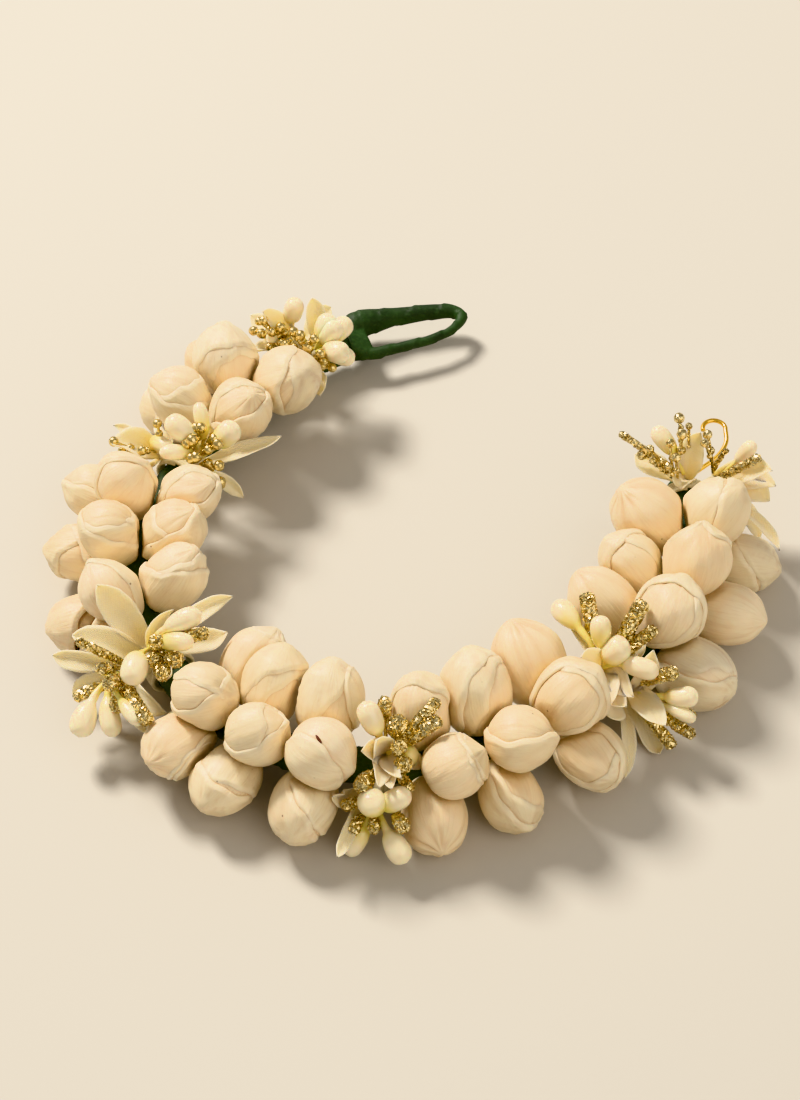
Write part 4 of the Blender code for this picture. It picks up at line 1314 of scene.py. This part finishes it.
def ivory_material():
    """Shaved soft wood: warm ivory, fine lines from base to tip, specks, and painted peach-brown shade in
    its creases and beside its shell rims.
    """
    look = Look("ivory_bud", Roughness=0.42, Subsurface_Weight=0.18, Subsurface_Scale=0.002,
                Subsurface_Radius=(1.0, 0.55, 0.28), Specular_IOR_Level=0.55)
    fold, edge, tint, crease = look.looks()
    place = look.place()
    lines = look.noise(look.attribute("grain")["Vector"], 2.0, 4.0, 0.6)
    cloud = look.noise(place, 170.0, 3.0, 0.55)
    random_cell, distance = look.cells(place, 260.0)
    speck = look.times(look.ramp(distance, 0.085, 0.045), look.ramp(random_cell, 0.86, 0.87))
    colour = look.mix(tint, (0.87, 0.7, 0.45, 1), (0.92, 0.79, 0.57, 1))
    for share, strength, stain in (
        (look.ramp(cloud, 0.45, 0.75), 0.4, (0.88, 0.65, 0.42, 1)),
        (look.ramp(lines, 0.5, 0.75), 0.36, (0.7, 0.5, 0.28, 1)),
        (edge, 0.5, (0.93, 0.81, 0.6, 1)),
        # painted shade in the creases of the grain
        (crease, 0.5, (0.7, 0.46, 0.25, 1)),
        # painted shade in the groove beside each higher shell's rim
        (fold, 0.75, (0.6, 0.3, 0.12, 1)),
        (speck, 0.8, (0.16, 0.07, 0.03, 1)),
        (look.ramp(tint, 1.2, 1.6), 1.0, (0.12, 0.03, 0.012, 1)),
    ):
        colour = look.mix(look.times(share, strength), colour, stain)
    return look.done(colour, look.bump(cloud, 0.7, 0.4, look.bump(lines, 0.3, 0.5)))


def petal_material():
    """Thin woven cloth, creamy and a little translucent."""
    look = Look("woven_petal", Roughness=0.6, Subsurface_Weight=0.8, Subsurface_Scale=0.0015,
                Subsurface_Radius=(1.0, 0.8, 0.5), Sheen_Weight=0.12, Specular_IOR_Level=0.35)
    across, along, _, share = look.looks()
    waves = [look.math("SINE", look.times(source, math.tau / WEAVE_PITCH)) for source in (across, along)]
    weave = look.times(*waves)
    colour = look.mix(look.ramp(weave, -1.0, 1.0), (0.93, 0.71, 0.47, 1), (0.96, 0.78, 0.55, 1))
    colour = look.mix(look.ramp(share, 0.45, 0.1), colour, (0.87, 0.66, 0.37, 1))
    return look.done(colour, look.bump(weave, 0.08, 0.5))


def pip_material():
    """Glossy white pips that turn yellow green at their base."""
    look = Look("glossy_pip", Roughness=0.28, Subsurface_Weight=0.25, Subsurface_Scale=0.002,
                Coat_Weight=0.4, Coat_Roughness=0.16)
    share, ripe, _, _ = look.looks()
    cloud = look.noise(look.place(), 260.0, 2.0)
    mottled = look.math("MULTIPLY_ADD", cloud, 0.35, look.math("SUBTRACT", ripe, share))
    colour = look.mix(look.ramp(mottled, 0.1, 0.35), (0.93, 0.82, 0.56, 1), (0.86, 0.73, 0.24, 1))
    return look.done(colour, look.bump(cloud, 0.15, 0.08))


def gold_material(name, roughness, dark, light):
    look = Look(name, Metallic=1.0, Roughness=roughness)
    grain, _, _, _ = look.looks()
    random_cell, _ = look.cells(look.place(), 2400.0)
    colour = look.mix(random_cell, dark, light)
    return look.done(look.mix(look.times(grain, 0.4), colour, light))


def tape_material():
    """Dark green crepe tape: waxy, with fine wrinkles whose raised parts carry a painted highlight."""
    look = Look("green_tape", Roughness=0.6, Specular_IOR_Level=0.35)
    place = look.place()
    wrinkle = look.noise(place, 900.0, 4.0, 0.6)
    cloud = look.noise(place, 120.0, 3.0)
    colour = look.mix(look.ramp(cloud, 0.35, 0.7), (0.012, 0.03, 0.01, 1), (0.024, 0.06, 0.018, 1))
    # painted highlight: the raised parts of the wrinkles are mixed towards a paler green
    colour = look.mix(look.times(look.ramp(wrinkle, 0.5, 0.8), 0.5), colour, (0.05, 0.11, 0.035, 1))
    return look.done(colour, look.bump(wrinkle, 0.35, 0.6))


def thread_material():
    look = Look("cream_thread", Roughness=0.8)
    fibre = look.noise(look.place(), 1400.0, 2.0)
    colour = look.mix(fibre, (0.55, 0.48, 0.3, 1), (0.8, 0.74, 0.55, 1))
    return look.done(colour, look.bump(fibre, 0.15, 0.6))


def brass_material():
    look = Look("brass_wire", Metallic=1.0)
    wear = look.noise(look.place(), 500.0, 3.0)
    rough = look.node("MapRange", Value=wear, To_Min=0.16, To_Max=0.34)
    look.links.new(rough.outputs["Result"], look.shader.inputs["Roughness"])
    return look.done(look.mix(wear, (0.86, 0.5, 0.07, 1), (0.96, 0.64, 0.15, 1)))


# Camera, floor and light

def make_camera():
    data = bpy.data.cameras.new("camera")
    data.lens = CAMERA_LENS
    data.sensor_width = 36.0
    data.clip_start = 0.01
    data.clip_end = 10.0
    camera = add_object("camera", data)
    camera.location = (Vector(CAMERA_TARGET) + TO_CAMERA * CAMERA_DISTANCE) * MM
    camera.rotation_euler = (math.radians(90 - CAMERA_ELEVATION), 0.0, 0.0)
    bpy.context.scene.camera = camera


def make_floor():
    shape = bmesh.new()
    bmesh.ops.create_grid(shape, x_segments=1, y_segments=1, size=3.0)
    mesh = bpy.data.meshes.new("floor")
    shape.to_mesh(mesh)
    shape.free()
    floor = add_object("floor", mesh)
    mesh.materials.append(Look("floor", Roughness=0.9, Base_Color=(0.56, 0.53, 0.48, 1)).material)


def make_light(name, place, size, power, colour):
    data = bpy.data.lights.new(name, "AREA")
    data.shape = "DISK"
    data.size = size
    data.energy = power
    data.color = colour
    light = add_object(name, data)
    light.location = place
    light.rotation_euler = (-Vector(place)).to_track_quat("-Z", "Y").to_euler()


def make_lights():
    make_light("key", (-0.75, 0.85, 1.15), 0.45, 39.0, (1.0, 0.94, 0.84))
    make_light("fill", (0.9, -0.9, 1.0), 1.6, 10.0, (1.0, 0.9, 0.76))
    world = bpy.data.worlds.new("studio")
    world.use_nodes = True
    background = world.node_tree.nodes["Background"]
    background.inputs["Color"].default_value = (1.0, 0.94, 0.86, 1)
    background.inputs["Strength"].default_value = 0.42
    bpy.context.scene.world = world


def main():
    bpy.context.scene.view_settings.view_transform = "Khronos PBR Neutral"
    make_camera()
    make_floor()
    make_lights()
    draw = random.Random(SEED)
    ivory = ivory_material()
    materials = {
        "petal": petal_material(),
        "pip": pip_material(),
        "glitter": gold_material("gold_glitter", 0.2, (0.2, 0.11, 0.02, 1), (1.0, 0.86, 0.48, 1)),
        "bead": gold_material("gold_bead", 0.26, (0.5, 0.37, 0.13, 1), (0.84, 0.68, 0.34, 1)),
        "thread": thread_material(),
    }
    buds = bud_list()
    bud_looks = [look for row in ROW_WRAPS for look in row]
    for bud, look in zip(buds, bud_looks):
        make_bud(bud, buds, look, draw, ivory)
    for number, (bunches, *runs) in enumerate(SPRAYS, 1):
        make_spray(number, bunches, runs, buds, draw, materials)
    tape = tape_material()
    make_stem(tape)
    make_loop(tape)
    make_hook(brass_material())


main()
